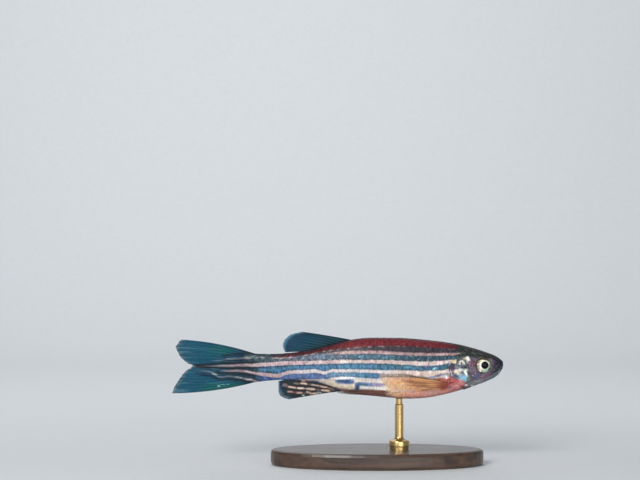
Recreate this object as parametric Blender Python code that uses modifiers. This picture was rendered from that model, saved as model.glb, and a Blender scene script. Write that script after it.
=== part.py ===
"""Zebra danio, a small striped fish of the carp family, life size, on a display stand.

The snout points along +X, the fish's left side along +Y and its back along +Z. The origin is on
the table, under the middle of the fish's length.
"""

import math

import bmesh
import bpy
import numpy as np
from mathutils import Vector

# Driving sizes, in metres

MM = 0.001
TOTAL_LENGTH = 42.0 * MM
STALK_END = 31.5 * MM
AXIS_HEIGHT = 12.5 * MM
GAP = 0.3 * MM
SNOUT_X = TOTAL_LENGTH / 2

# Body outlines as (distance behind the snout, value) in millimetres from the body axis

BACK_LINE = ((0, 0.25), (0.03, 0.5), (0.42, 0.95), (1.0, 1.37), (2.0, 1.76), (3.0, 2.1), (5.8, 2.83),
             (9.1, 3.3), (14.5, 3.64), (18.9, 3.45), (21.5, 2.85), (25.3, 1.93), (28.8, 1.6),
             (31.5, 1.63))
BELLY_LINE = ((0, 0.0), (0.12, -0.28), (0.38, -0.76), (0.76, -1.22), (1.3, -1.58), (2.1, -1.95),
              (3.8, -2.57), (6.5, -3.38), (9.9, -4.05), (12.5, -4.15), (16.0, -3.86),
              (18.9, -3.55), (20.6, -3.15), (22.7, -2.32), (25.3, -1.86), (28.5, -1.8),
              (31.5, -2.1))
HALF_WIDTH_LINE = ((0, 0.05), (0.3, 0.62), (0.8, 0.98), (2.0, 1.38), (4.0, 1.72), (6.5, 1.88),
                   (11.0, 1.98), (15.0, 1.86), (19.0, 1.48), (23.5, 1.0), (28.8, 0.58),
                   (31.5, 0.36))

# How square the section is, where 2 is an ellipse

UPPER_SQUARE_LINE = ((0, 2.0), (2.0, 2.5), (5.0, 2.4), (9.0, 2.1), (31.5, 2.0))
LOWER_SQUARE_LINE = ((0, 3.0), (1.0, 2.8), (2.5, 2.3), (4.5, 2.0), (11.0, 2.35), (19.0, 2.1),
                     (31.5, 2.0))
WIDEST_SHARE = 0.52

# Mesh fineness

BODY_RINGS = 38
BODY_SIDES = 28
RING_GATHER = 1.6
CREASE_ANGLE = math.radians(40)

# Where the body is parted, as (behind, above) in millimetres, and how far the cuts reach past it

GILL_LINE = ((5.75, 4.5), (5.75, 2.2), (5.95, 1.1), (6.65, 0.3), (6.9, -0.6), (6.5, -1.6),
             (5.6, -2.45), (4.9, -3.1), (4.2, -4.0))
CUT_REACH = 8.0
CUT_HALF_WIDTH = 5.0 * MM
GILL_COVER_OUTLINE = ((8.0, 0.95), (5.0, 1.15), (4.25, 0.5), (4.0, -0.6), (4.25, -1.7), (4.9, -2.5),
                      (5.8, -3.6), (8.0, -3.6))
GILL_COVER_THICKNESS = 0.5 * MM
GILL_COVER_APART = 0.5 * MM
STALK_START = 26.9 * MM
MOUTH_MIDDLE = -0.08
MOUTH_FRONT = (-1.0, 0.5)
MOUTH_CORNER = (1.15, -0.75)
JAW_HINGE = (2.3, -1.42)
JAW_REAR = (2.75, -3.2)
JAW_FRONT = (-1.0, -3.2)
JAW_FRONT_BELOW = (-1.0, -4.0)

# Face

LIP_RADIUS = 0.17 * MM
LIP_INSET = 0.05 * MM
LIP_TAPER = 0.45
LIP_POINTS = 11
UPPER_LIP_START = 0.18
LOWER_LIP_START = 0.4
EYE_BEHIND = 2.64 * MM
EYE_ABOVE = 0.15 * MM
EYE_RADIUS = 0.97 * MM
EYE_HALF_DEPTH = 0.58 * MM
EYE_OUT = 1.08 * MM
NOSTRILS = ((0.95, 0.78), (1.3, 0.95))
NOSTRIL_RADIUS = 0.16 * MM
BARBEL_RADIUS = 0.2 * MM
BARBEL_TAPER = 0.55
BARBEL_RISE = 4.0
BARBEL_STAND_OFF = 1.2
BARBEL_POINTS = 7

# Fins

FIN_THICKNESS = 0.65 * MM
MEMBRANE_SHARE = 0.75
MARGIN_SHARE = 0.5
BRANCH_SHARE = 0.8
BRANCH_START = 0.55
SCALLOP = 0.1 * MM
FIN_BOW = 0.05 * MM
DORSAL_SWAY = 0.35 * MM
ANAL_SWAY = -0.3 * MM
TAIL_SWAY = 0.5 * MM
TAIL_TWIST = 0.5 * MM
TAIL_LOBE = 3.3 * MM
UPPER_TAIL_BOW = 0.55 * MM
LOWER_TAIL_BOW = -0.35 * MM

# Stand

ROD_BEHIND = 13.2 * MM
ROD_RADIUS = 0.55 * MM
COLLAR_RADIUS = 1.3 * MM
COLLAR_HEIGHT = 0.7 * MM
BASE_CENTRE_X = 5.0 * MM
BASE_LENGTH = 27.0 * MM
BASE_WIDTH = 13.0 * MM
BASE_HEIGHT = 2.0 * MM
BASE_BEVEL = 0.4 * MM
BASE_SIDES = 48

PARTS = "zebra_danio"
CUTTERS = "cutters"


def spline(keys, values):
    """A smooth curve that takes each value at its key, as a function of the key."""
    keys = np.array(keys, float)
    values = np.array(values, float)
    slopes = np.gradient(values, keys, axis=0)

    def at(key):
        i = min(max(int(np.searchsorted(keys, key)) - 1, 0), len(keys) - 2)
        span = keys[i + 1] - keys[i]
        s = min(max((key - keys[i]) / span, 0.0), 1.0)
        rise = s * s * (3 - 2 * s)
        leave = s * (1 - s) ** 2 * span
        arrive = s * s * (s - 1) * span
        return (values[i] * (1 - rise) + values[i + 1] * rise
                + slopes[i] * leave + slopes[i + 1] * arrive)

    return at


def along_body(points):
    """A body outline as a function of metres behind the snout. The square root rounds the snout."""
    curve = spline([math.sqrt(behind) for behind, _ in points], [value for _, value in points])
    return lambda behind: float(curve(math.sqrt(max(behind, 0.0) / MM)))


BACK = along_body(BACK_LINE)
BELLY = along_body(BELLY_LINE)
HALF_WIDTH = along_body(HALF_WIDTH_LINE)
UPPER_SQUARE = along_body(UPPER_SQUARE_LINE)
LOWER_SQUARE = along_body(LOWER_SQUARE_LINE)


def place(behind, across, above):
    """A point given from the snout and the body axis, in the model's own frame."""
    return Vector((SNOUT_X - behind, across, AXIS_HEIGHT + above))


def section(behind, above_widest, inset=0.0):
    """Half width, widest height, reach and squareness of the body section, above or below."""
    back = BACK(behind) * MM - inset
    belly = BELLY(behind) * MM + inset
    widest = belly + WIDEST_SHARE * (back - belly)
    half_width = HALF_WIDTH(behind) * MM - inset
    if above_widest:
        return half_width, widest, back - widest, UPPER_SQUARE(behind)
    return half_width, widest, widest - belly, LOWER_SQUARE(behind)


def skin_point(behind, angle, inset=0.0):
    """A point of the skin. Angle 0 is the back, a quarter turn the left flank, a half the belly."""
    half_width, widest, reach, square = section(behind, math.cos(angle) > 0, inset)
    across = math.copysign(abs(math.sin(angle)) ** (2 / square), math.sin(angle))
    above = math.copysign(abs(math.cos(angle)) ** (2 / square), math.cos(angle))
    return place(behind, half_width * across, widest + reach * above)


def flank(behind, above):
    """How far from the middle the skin is at this height."""
    widest = section(behind, True)[1]
    half_width, _, reach, square = section(behind, above > widest)
    share = min(abs(above - widest) / reach, 1.0)
    return half_width * (1 - share ** square) ** (1 / square)


def collection(name):
    found = bpy.data.collections.get(name)
    if found is None:
        found = bpy.data.collections.new(name)
        bpy.context.scene.collection.children.link(found)
    return found


def paint(name, colour, roughness, metallic=0.0):
    material = bpy.data.materials.new(name)
    material.use_nodes = True
    shader = material.node_tree.nodes["Principled BSDF"]
    shader.inputs["Base Color"].default_value = (*colour, 1.0)
    shader.inputs["Roughness"].default_value = roughness
    shader.inputs["Metallic"].default_value = metallic
    material.diffuse_color = (*colour, 1.0)
    return material


def face_out(bm):
    """Turns a closed surface's faces outwards, and an open one's the same way as each other."""
    bm.normal_update()
    bmesh.ops.recalc_face_normals(bm, faces=bm.faces)
    if bm.calc_volume(signed=True) < 0:
        bmesh.ops.reverse_faces(bm, faces=bm.faces)


def node(name, bm, material):
    """A finished part of the model, from a bmesh, which this frees."""
    face_out(bm)
    mesh = bpy.data.meshes.new(name)
    bm.to_mesh(mesh)
    bm.free()
    mesh.materials.append(material)
    mesh.shade_smooth()
    made = bpy.data.objects.new(name, mesh)
    collection(PARTS).objects.link(made)
    return made


def cutter(name, bm):
    """A shape that only cuts or joins others, from a bmesh, which this frees."""
    face_out(bm)
    mesh = bpy.data.meshes.new(name)
    bm.to_mesh(mesh)
    bm.free()
    made = bpy.data.objects.new(name, mesh)
    made.hide_render = True
    made.display_type = "WIRE"
    collection(CUTTERS).objects.link(made)
    return made


def keep_largest(bm):
    """Drops every closed surface but the largest."""
    left = set(bm.verts)
    islands = []
    while left:
        island = {left.pop()}
        edge = set(island)
        while edge:
            edge = {e.other_vert(v) for v in edge for e in v.link_edges} - island
            island |= edge
        left -= island
        islands.append(island)
    largest = max(islands, key=len)
    scraps = [v for island in islands if island is not largest for v in island]
    bmesh.ops.delete(bm, geom=scraps, context="VERTS")


def combine(target, operation, tool):
    """Applies one Boolean of the target with the tool, and keeps the largest body."""
    modifier = target.modifiers.new(operation.title(), "BOOLEAN")
    modifier.operation = operation
    modifier.object = tool
    graph = bpy.context.evaluated_depsgraph_get()
    result = bpy.data.meshes.new_from_object(target.evaluated_get(graph))
    target.modifiers.clear()
    target.data = result
    bm = bmesh.new()
    bm.from_mesh(result)
    keep_largest(bm)
    bm.to_mesh(result)
    bm.free()
    result.shade_smooth()
    result.set_sharp_from_angle(angle=CREASE_ANGLE)


def loft(start, end, rings, gather=1.0, inset=0.0):
    """The body between two distances behind the snout, closed at both ends."""
    bm = bmesh.new()
    loops = []
    for i in range(rings + 1):
        behind = start + (end - start) * (i / rings) ** gather
        angles = [math.tau * (k + 0.5) / BODY_SIDES for k in range(BODY_SIDES)]
        loops.append([bm.verts.new(skin_point(behind, angle, inset)) for angle in angles])
    for near, far in zip(loops, loops[1:]):
        for k in range(BODY_SIDES):
            after = (k + 1) % BODY_SIDES
            bm.faces.new((near[k], near[after], far[after], far[k]))
    bm.faces.new(loops[0])
    bm.faces.new(loops[-1])
    return bm


def prism(name, outline, low=-CUT_HALF_WIDTH, high=CUT_HALF_WIDTH):
    """A cutter with this side outline, as (behind, above) in millimetres, from low to high in Y."""
    bm = bmesh.new()
    corners = [bm.verts.new(place(behind * MM, low, above * MM)) for behind, above in outline]
    face = bm.faces.new(corners)
    grown = bmesh.ops.extrude_face_region(bm, geom=[face])["geom"]
    moved = [v for v in grown if isinstance(v, bmesh.types.BMVert)]
    bmesh.ops.translate(bm, verts=moved, vec=(0, high - low, 0))
    return cutter(name, bm)


def shifted(outline, distance):
    """An open outline moved to the left of the way it runs, in millimetres."""
    points = np.array(outline, float)
    way = np.gradient(points, axis=0)
    way /= np.linalg.norm(way, axis=1)[:, None]
    return [tuple(p) for p in points + distance * np.stack([-way[:, 1], way[:, 0]], axis=1)]


def sampled(outline, count):
    """Points on a smooth curve through an outline."""
    curve = spline(range(len(outline)), outline)
    return [tuple(curve(i * (len(outline) - 1) / (count - 1))) for i in range(count)]


def ellipsoid(bm, centre, radii, around=20, along=12):
    """A ball squashed to three radii, with its poles along Y."""
    made = bmesh.ops.create_uvsphere(bm, u_segments=around, v_segments=along, radius=1.0)
    for v in made["verts"]:
        x, y, z = v.co
        v.co = centre + Vector((x * radii[0], z * radii[1], y * radii[2]))


def tube(name, points, radii):
    """A round rod of six sides along points, as a closed mesh in a bmesh."""
    data = bpy.data.curves.new(name, "CURVE")
    data.dimensions = "3D"
    data.bevel_depth = 1.0
    data.bevel_resolution = 1
    data.use_fill_caps = True
    line = data.splines.new("POLY")
    line.points.add(len(points) - 1)
    for point, position, radius in zip(line.points, points, radii):
        point.co = (*position, 1.0)
        point.radius = radius
    wire = bpy.data.objects.new(name, data)
    collection(CUTTERS).objects.link(wire)
    graph = bpy.context.evaluated_depsgraph_get()
    mesh = bpy.data.meshes.new_from_object(wire.evaluated_get(graph))
    bm = bmesh.new()
    bm.from_mesh(mesh)
    bmesh.ops.remove_doubles(bm, verts=bm.verts, dist=0.001 * MM)
    bpy.data.objects.remove(wire)
    bpy.data.curves.remove(data)
    bpy.data.meshes.remove(mesh)
    return bm


# The parts of the body

def head_cutters():
    """The head's outline, and the same line moved back as the trunk's front."""
    gill = sampled(GILL_LINE, 22)
    far = CUT_REACH
    head = [(-far, far), (gill[0][0], far), *gill, (gill[-1][0], -far), (-far, -far)]
    rear = shifted(gill, GAP / MM)
    stalk = (STALK_START - GAP / 2) / MM
    trunk = [(stalk, far), (rear[0][0], far), *rear, (rear[-1][0], -far), (stalk, -far)]
    return prism("head_outline", head), prism("trunk_outline", trunk)


def eyes_and_sockets(head, skins):
    """Each eye, and its socket cut in the head."""
    for side, sign in (("left", 1), ("right", -1)):
        centre = place(EYE_BEHIND, sign * EYE_OUT, EYE_ABOVE)
        bm = bmesh.new()
        ellipsoid(bm, centre, (EYE_RADIUS, EYE_HALF_DEPTH, EYE_RADIUS))
        node(f"eye_{side}", bm, skins["eye"])
        bm = bmesh.new()
        radii = (EYE_RADIUS + GAP, EYE_HALF_DEPTH + GAP, EYE_RADIUS + GAP)
        ellipsoid(bm, centre, radii)
        combine(head, "DIFFERENCE", cutter(f"socket_{side}", bm))


def gill_covers(head, head_outline, skins):
    """Each gill cover as a plate of the skin, over a pocket in the head."""
    outline = sampled(GILL_COVER_OUTLINE, 22)
    wider = shifted(outline, -GAP / MM)
    near, far = 3.0 * MM, 9.0 * MM
    plate_back = cutter("plate_back", loft(near, far, 14, inset=GILL_COVER_THICKNESS))
    chamber = cutter("chamber", loft(near, far, 14, inset=GILL_COVER_THICKNESS + GAP))
    for side, sign in (("left", 1), ("right", -1)):
        low, high = sorted((sign * GILL_COVER_APART, sign * CUT_HALF_WIDTH))
        plate = node(f"gill_cover_{side}", loft(0.01 * MM, 9.0 * MM, 20, 1.4), skins["gill_cover"])
        combine(plate, "INTERSECT", prism(f"cover_outline_{side}", outline, low, high))
        combine(plate, "INTERSECT", head_outline)
        combine(plate, "DIFFERENCE", plate_back)
        pocket = prism(f"pocket_{side}", wider, low, high)
        combine(pocket, "DIFFERENCE", chamber)
        combine(head, "DIFFERENCE", pocket)


def lip_line(start, side):
    """Points beside the mouth line, from its left corner round the snout to its right one."""
    points = []
    slope = (MOUTH_CORNER[1] - MOUTH_MIDDLE) / MOUTH_CORNER[0]
    shift = side * (GAP / 2 + LIP_RADIUS) * math.hypot(1, slope)
    for i in range(LIP_POINTS):
        s = 2 * i / (LIP_POINTS - 1) - 1
        behind = (start + (MOUTH_CORNER[0] - start) * s * s) * MM
        above = MOUTH_MIDDLE * MM + slope * behind + shift
        across = 0.0 if s == 0 else -math.copysign(flank(behind, above) - LIP_INSET, s)
        points.append(place(behind, across, above))
    return points


def jaw_and_lips(head, skins):
    """The lower jaw parted from the head along the mouth, with a lip on each."""
    half = GAP / 2 / MM
    edge = [MOUTH_FRONT, MOUTH_CORNER, JAW_HINGE, JAW_REAR]
    jaw = node("lower_jaw", loft(0.004 * MM, 4.0 * MM, 16, RING_GATHER), skins["cheek"])
    combine(jaw, "INTERSECT", prism("jaw_outline", [*shifted(edge, -half), JAW_FRONT]))
    combine(head, "DIFFERENCE", prism("jaw_room", [*shifted(edge, half), JAW_FRONT_BELOW]))
    for whole, start, side in ((head, UPPER_LIP_START, 1), (jaw, LOWER_LIP_START, -1)):
        line = lip_line(start, side)
        radii = [LIP_RADIUS * LIP_TAPER ** abs(2 * i / (LIP_POINTS - 1) - 1)
                 for i in range(LIP_POINTS)]
        combine(whole, "UNION", cutter(f"{whole.name}_lip", tube("lip", line, radii)))


def nostrils(head):
    """Two small pits on each side of the snout."""
    for sign in (1, -1):
        for behind, above in NOSTRILS:
            across = sign * flank(behind * MM, above * MM)
            bm = bmesh.new()
            centre = place(behind * MM, across, above * MM)
            ellipsoid(bm, centre, [NOSTRIL_RADIUS] * 3, around=8, along=6)
            combine(head, "DIFFERENCE", cutter("nostril", bm))


def body(skins):
    """Head, jaw, gill covers, eyes, trunk and tail stalk."""
    head_outline, trunk_outline = head_cutters()
    shape = (0.004 * MM, STALK_END, BODY_RINGS, RING_GATHER)
    head = node("head", loft(*shape), skins["cheek"])
    combine(head, "INTERSECT", head_outline)
    eyes_and_sockets(head, skins)
    gill_covers(head, head_outline, skins)
    jaw_and_lips(head, skins)
    nostrils(head)
    trunk = node("trunk", loft(*shape), skins["flank"])
    combine(trunk, "INTERSECT", trunk_outline)
    node("tail_stalk", loft(STALK_START + GAP / 2, STALK_END, 8), skins["flank"])


def barbels(skins):
    """The fine feelers: one pair above the mouth and a longer pair at its corners."""
    routes = {
        "rostral": ((0.55, 0.35), (1.35, -0.35), 0.5),
        "maxillary": ((1.2, -0.95), (2.9, -2.15), 0.45),
    }
    for kind, (root, tip, droop) in routes.items():
        for side, sign in (("left", 1), ("right", -1)):
            points, radii = [], []
            for i in range(BARBEL_POINTS):
                t = i / (BARBEL_POINTS - 1)
                behind = (root[0] + (tip[0] - root[0]) * t) * MM
                above = (root[1] + (tip[1] - root[1]) * t ** (1 + droop)) * MM
                clear = GAP + BARBEL_RADIUS * min(BARBEL_RISE * t, BARBEL_STAND_OFF)
                points.append(place(behind, sign * (flank(behind, above) + clear), above))
                radii.append(BARBEL_RADIUS * (1 - BARBEL_TAPER * t))
            node(f"{kind}_barbel_{side}", tube("barbel", points, radii), skins["cheek"])


# The fins

def fin(name, root, tip, rays, rows, material, bow=None, lateral=None, branched=False):
    """A fan of rays from the root curve to the tip curve, each a function of 0 to 1 across the fin.

    root and tip give (behind, across, above) in metres. bow, a function of the same 0 to 1, bends
    each ray in the fin's own plane. lateral adds a sideways bend, as a function of the share along
    the ray and the height above the axis.
    """
    steps = 4 if branched else 2
    columns = rays * steps
    bm = bmesh.new()
    grid = []
    weights = {}
    for j in range(columns + 1):
        u = j / columns
        between = 1 if j % steps == 0 else 0
        start, end = np.array(root(u)), np.array(tip(u))
        way = end - start
        bent = np.array((-way[2], 0, way[0])) / np.linalg.norm(way) * (bow(u) if bow else 0.0)
        end = end - way / np.linalg.norm(way) * SCALLOP * between
        column = []
        for i in range(rows + 1):
            t = i / rows
            behind, across, above = start + (end - start) * t + bent * 4 * t * (1 - t)
            if lateral:
                across += lateral(t, above)
            vert = bm.verts.new(place(behind, across, above))
            weights[vert] = thickness_share(j % steps, steps, t)
            column.append(vert)
        grid.append(column)
    for left, right in zip(grid, grid[1:]):
        for i in range(rows):
            bm.faces.new((left[i], right[i], right[i + 1], left[i + 1]))
    bm.verts.index_update()
    shares = {v.index: w for v, w in weights.items()}
    bmesh.ops.triangulate(bm, faces=bm.faces, quad_method="FIXED")
    made = node(name, bm, material)
    group = made.vertex_groups.new(name="thickness")
    for index, share in shares.items():
        group.add([index], share, "REPLACE")
    solid = made.modifiers.new("Solidify", "SOLIDIFY")
    solid.thickness = FIN_THICKNESS
    solid.offset = 0.0
    solid.vertex_group = group.name
    solid.thickness_vertex_group = 0.0
    return made


def thickness_share(place_in_ray, steps, t):
    """How thick the fin is here: full on a ray, less on the membrane, less again at the margin."""
    middle = steps // 2
    if place_in_ray == 0:
        share = MEMBRANE_SHARE
    elif place_in_ray == middle:
        share = 1.0 if steps == 2 or t < BRANCH_START else BRANCH_SHARE
    else:
        share = 1.0 if t >= BRANCH_START else BRANCH_SHARE
    return share * (1 - (1 - MARGIN_SHARE) * t ** 2)


def through(points):
    """A smooth curve through (behind, across, above) points in millimetres, from 0 to 1."""
    return spline(np.linspace(0, 1, len(points)), np.array(points, float) * MM)


def on_back(start, end):
    """The root line of a fin that stands on the back."""
    def root(u):
        behind = (start + (end - start) * u) * MM
        return behind, 0.0, BACK(behind) * MM + GAP
    return root


def under_belly(start, end):
    """The root line of a fin that hangs from the belly."""
    def root(u):
        behind = (start + (end - start) * u) * MM
        return behind, 0.0, BELLY(behind) * MM - GAP
    return root


def first_ray_bow(u):
    return FIN_BOW * (1 - u)


def tail_bow(u):
    """The tail's upper and lower edges bow outwards, and the rays between them less and less."""
    return UPPER_TAIL_BOW * max(1 - 2 * u, 0.0) + LOWER_TAIL_BOW * max(2 * u - 1, 0.0)


def tail_bend(t, above):
    return t * t * (TAIL_SWAY + TAIL_TWIST * above / TAIL_LOBE)


def median_fins(skins):
    """Back, anal and tail fins, which stand in the middle plane."""
    fin("dorsal_fin", on_back(19.4, 24.4),
        through(((25.5, 0, 4.35), (27.2, 0, 3.85), (27.95, 0, 2.75), (27.75, 0, 2.1))),
        rays=9, rows=6, material=skins["fin"], bow=first_ray_bow, branched=True,
        lateral=lambda t, above: DORSAL_SWAY * t * t)
    fin("anal_fin", under_belly(20.5, 26.6),
        through(((27.2, 0, -4.25), (28.2, 0, -3.95), (28.75, 0, -3.4), (28.8, 0, -2.75),
                 (28.45, 0, -2.2))),
        rays=13, rows=6, material=skins["striped_fin"], bow=first_ray_bow,
        lateral=lambda t, above: ANAL_SWAY * t * t)
    root = (STALK_END + GAP) / MM
    fin("tail_fin",
        through(((root, 0, 1.6), (root + 0.05, 0, 0.7), (root + 0.05, 0, -0.2),
                 (root + 0.05, 0, -1.15), (root, 0, -2.05))),
        through(((41.2, 0, 3.3), (41.6, 0, 2.5), (41.2, 0, 1.4), (40.4, 0, 0.5), (39.4, 0, -0.05),
                 (40.3, 0, -0.65), (41.1, 0, -1.6), (41.65, 0, -2.5), (42.0, 0, -3.45))),
        rays=18, rows=8, material=skins["striped_fin"], bow=tail_bow, branched=True,
        lateral=tail_bend)


def paired_fins(skins):
    """Breast fins laid back along the flanks, and belly fins folded under the belly."""
    for side, sign in (("left", 1), ("right", -1)):
        def mirrored(points, sign=sign):
            return through([(behind, sign * across, above) for behind, across, above in points])
        fin(f"pectoral_fin_{side}",
            mirrored(((7.45, 2.38, -1.85), (7.65, 2.33, -2.3), (7.9, 2.2, -2.75))),
            mirrored(((13.8, 2.72, -0.65), (15.3, 2.85, -1.15), (15.3, 2.88, -1.9),
                      (14.2, 2.75, -2.7), (12.0, 2.5, -3.3))),
            rays=11, rows=6, material=skins["fin"])
        fin(f"pelvic_fin_{side}",
            mirrored(((14.9, 1.55, -3.25), (14.95, 1.3, -3.55), (15.0, 0.95, -3.9))),
            mirrored(((19.0, 1.6, -2.75), (19.3, 1.4, -3.1), (19.0, 1.15, -3.4),
                      (18.2, 0.95, -3.65))),
            rays=7, rows=5, material=skins["fin"])


# The stand

def stand(skins):
    """An oval base and a turned rod up to the belly."""
    bpy.ops.mesh.primitive_cylinder_add(vertices=BASE_SIDES, radius=0.5, depth=BASE_HEIGHT)
    base = bpy.context.object
    base.name = base.data.name = "stand_base"
    base.data.transform(base.matrix_world)
    for v in base.data.vertices:
        v.co.x *= BASE_LENGTH
        v.co.y *= BASE_WIDTH
    base.location = (BASE_CENTRE_X, 0, BASE_HEIGHT / 2)
    bevel = base.modifiers.new("Bevel", "BEVEL")
    bevel.width = BASE_BEVEL
    bevel.segments = 2
    base.data.materials.append(skins["base"])
    for holder in base.users_collection:
        holder.objects.unlink(base)
    collection(PARTS).objects.link(base)

    top = AXIS_HEIGHT + BELLY(ROD_BEHIND) * MM - GAP
    foot = BASE_HEIGHT + GAP
    profile = ((0, top), (ROD_RADIUS - 0.15 * MM, top), (ROD_RADIUS, top - 0.15 * MM),
               (ROD_RADIUS, foot + COLLAR_HEIGHT + 0.3 * MM), (COLLAR_RADIUS, foot + COLLAR_HEIGHT),
               (COLLAR_RADIUS, foot), (0, foot))
    bm = bmesh.new()
    verts = [bm.verts.new((radius, 0, height)) for radius, height in profile]
    for above, below in zip(verts, verts[1:]):
        bm.edges.new((above, below))
    mesh = bpy.data.meshes.new("stand_rod")
    bm.to_mesh(mesh)
    bm.free()
    mesh.materials.append(skins["rod"])
    rod = bpy.data.objects.new("stand_rod", mesh)
    rod.location = (SNOUT_X - ROD_BEHIND, 0, 0)
    collection(PARTS).objects.link(rod)
    screw = rod.modifiers.new("Screw", "SCREW")
    screw.steps = screw.render_steps = 24
    screw.use_merge_vertices = True
    screw.merge_threshold = 0.000001


def main():
    for old in list(bpy.data.objects):
        bpy.data.objects.remove(old)
    skins = {
        "cheek": paint("cheek", (0.33, 0.26, 0.30), 0.4),
        "gill_cover": paint("gill_cover", (0.62, 0.66, 0.70), 0.3),
        "flank": paint("flank", (0.16, 0.30, 0.42), 0.35),
        "eye": paint("eye", (0.85, 0.82, 0.66), 0.15),
        "fin": paint("fin", (0.30, 0.38, 0.36), 0.4),
        "striped_fin": paint("striped_fin", (0.22, 0.30, 0.36), 0.4),
        "base": paint("base", (0.06, 0.04, 0.03), 0.4),
        "rod": paint("rod", (0.75, 0.58, 0.32), 0.3, 1.0),
    }
    body(skins)
    barbels(skins)
    median_fins(skins)
    paired_fins(skins)
    stand(skins)


main()
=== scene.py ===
"""The looks of the zebra danio on its stand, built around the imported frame.

Points on the fish are worked out in millimetres as (behind the snout, to the left, above the body's
axis), and turned into the frame's metres when a mesh is made.
"""

import math

import bpy
import numpy as np
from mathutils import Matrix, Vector


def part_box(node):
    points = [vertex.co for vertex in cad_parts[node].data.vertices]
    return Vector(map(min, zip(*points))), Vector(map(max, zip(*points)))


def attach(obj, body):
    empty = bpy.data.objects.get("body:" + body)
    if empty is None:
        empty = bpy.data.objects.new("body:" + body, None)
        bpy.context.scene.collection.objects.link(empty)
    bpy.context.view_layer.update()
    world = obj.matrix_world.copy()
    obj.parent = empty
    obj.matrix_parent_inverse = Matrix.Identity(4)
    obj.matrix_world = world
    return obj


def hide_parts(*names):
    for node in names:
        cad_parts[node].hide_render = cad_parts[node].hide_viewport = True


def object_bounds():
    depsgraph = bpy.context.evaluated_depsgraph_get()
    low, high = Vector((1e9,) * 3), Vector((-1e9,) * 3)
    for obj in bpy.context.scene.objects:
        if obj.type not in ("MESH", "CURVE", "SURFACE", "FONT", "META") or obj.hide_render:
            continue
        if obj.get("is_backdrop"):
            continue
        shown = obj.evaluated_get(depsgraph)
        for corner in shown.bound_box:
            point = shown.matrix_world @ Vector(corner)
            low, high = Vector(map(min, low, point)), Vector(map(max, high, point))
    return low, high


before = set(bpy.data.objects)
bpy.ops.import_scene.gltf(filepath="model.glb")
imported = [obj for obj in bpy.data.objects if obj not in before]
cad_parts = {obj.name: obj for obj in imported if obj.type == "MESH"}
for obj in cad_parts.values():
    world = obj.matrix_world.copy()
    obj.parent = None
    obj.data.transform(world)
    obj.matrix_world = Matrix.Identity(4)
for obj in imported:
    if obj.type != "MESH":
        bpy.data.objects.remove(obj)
CAD_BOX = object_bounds()

MM = 0.001
SNOUT_X = 21.0
AXIS_Z = 12.5
SIDES = (("left", 1), ("right", -1))

# The body's lines, as in the solids

BACK_LINE = ((0, 0.25), (0.03, 0.5), (0.42, 0.95), (1.0, 1.37), (2.0, 1.76), (3.0, 2.1), (5.8, 2.83),
             (9.1, 3.3), (14.5, 3.64), (18.9, 3.45), (21.5, 2.85), (25.3, 1.93), (28.8, 1.6),
             (31.5, 1.63), (33.2, 1.8))
BELLY_LINE = ((0, 0.0), (0.12, -0.28), (0.38, -0.76), (0.76, -1.22), (1.3, -1.58), (2.1, -1.95),
              (3.8, -2.57), (6.5, -3.38), (9.9, -4.05), (12.5, -4.15), (16.0, -3.86),
              (18.9, -3.55), (20.6, -3.15), (22.7, -2.32), (25.3, -1.86), (28.5, -1.8),
              (31.5, -2.1), (33.2, -2.4))
HALF_WIDTH_LINE = ((0, 0.05), (0.3, 0.62), (0.8, 0.98), (2.0, 1.38), (4.0, 1.72), (6.5, 1.88),
                   (11.0, 1.98), (15.0, 1.86), (19.0, 1.48), (23.5, 1.0), (28.8, 0.58),
                   (31.5, 0.36), (33.2, 0.1))
UPPER_SQUARE_LINE = ((0, 2.0), (2.0, 2.5), (5.0, 2.4), (9.0, 2.1), (33.2, 2.0))
LOWER_SQUARE_LINE = ((0, 3.0), (1.0, 2.8), (2.5, 2.3), (4.5, 2.0), (11.0, 2.35), (19.0, 2.1),
                     (33.2, 2.0))
WIDEST_SHARE = 0.52
SKIN_END = 33.0
COAT_DEPTH = 0.05

MOUTH = ((-0.2, 0.04), (0.0, -0.08), (1.15, -0.75))
GILL_LINE = ((5.6, 1.75), (5.95, 1.1), (6.65, 0.3), (6.9, -0.6), (6.5, -1.6), (5.6, -2.45), (4.9, -3.1),
             (4.4, -3.6))
NOSTRILS = ((0.95, 0.78, 0.12), (1.3, 0.95, 0.14))
EYE_RADIUS = 0.93

# The camera, as (behind the snout, away from the middle plane, above the axis)

CAMERA = (23.24, 225.6, 16.0)


def centre_of(low, high):
    """The middle of a box of the frame, in millimetres."""
    return (np.array(low) + np.array(high)) / 2 / MM


EYE_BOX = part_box("eye_left")
EYE_CENTRE = centre_of(*EYE_BOX)
EYE = (SNOUT_X - EYE_CENTRE[0], EYE_CENTRE[2] - AXIS_Z)


def spline(keys, values):
    """A smooth curve that takes each value at its key, for arrays of keys."""
    keys = np.array(keys, float)
    values = np.array(values, float)
    slopes = np.gradient(values, keys, axis=0)

    def at(key):
        key = np.asarray(key, float)
        i = np.clip(np.searchsorted(keys, key) - 1, 0, len(keys) - 2)
        span = keys[i + 1] - keys[i]
        s = np.clip((key - keys[i]) / span, 0, 1)
        weights = [s * s * (3 - 2 * s), s * (1 - s) ** 2 * span, s * s * (s - 1) * span]
        if values.ndim > 1:
            weights = [w[..., None] for w in weights]
        rise, leave, arrive = weights
        return values[i] * (1 - rise) + values[i + 1] * rise + slopes[i] * leave + slopes[i + 1] * arrive

    return at


def along_body(points):
    curve = spline([math.sqrt(p[0]) for p in points], [p[1] for p in points])
    return lambda behind: curve(np.sqrt(np.maximum(behind, 0)))


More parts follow.
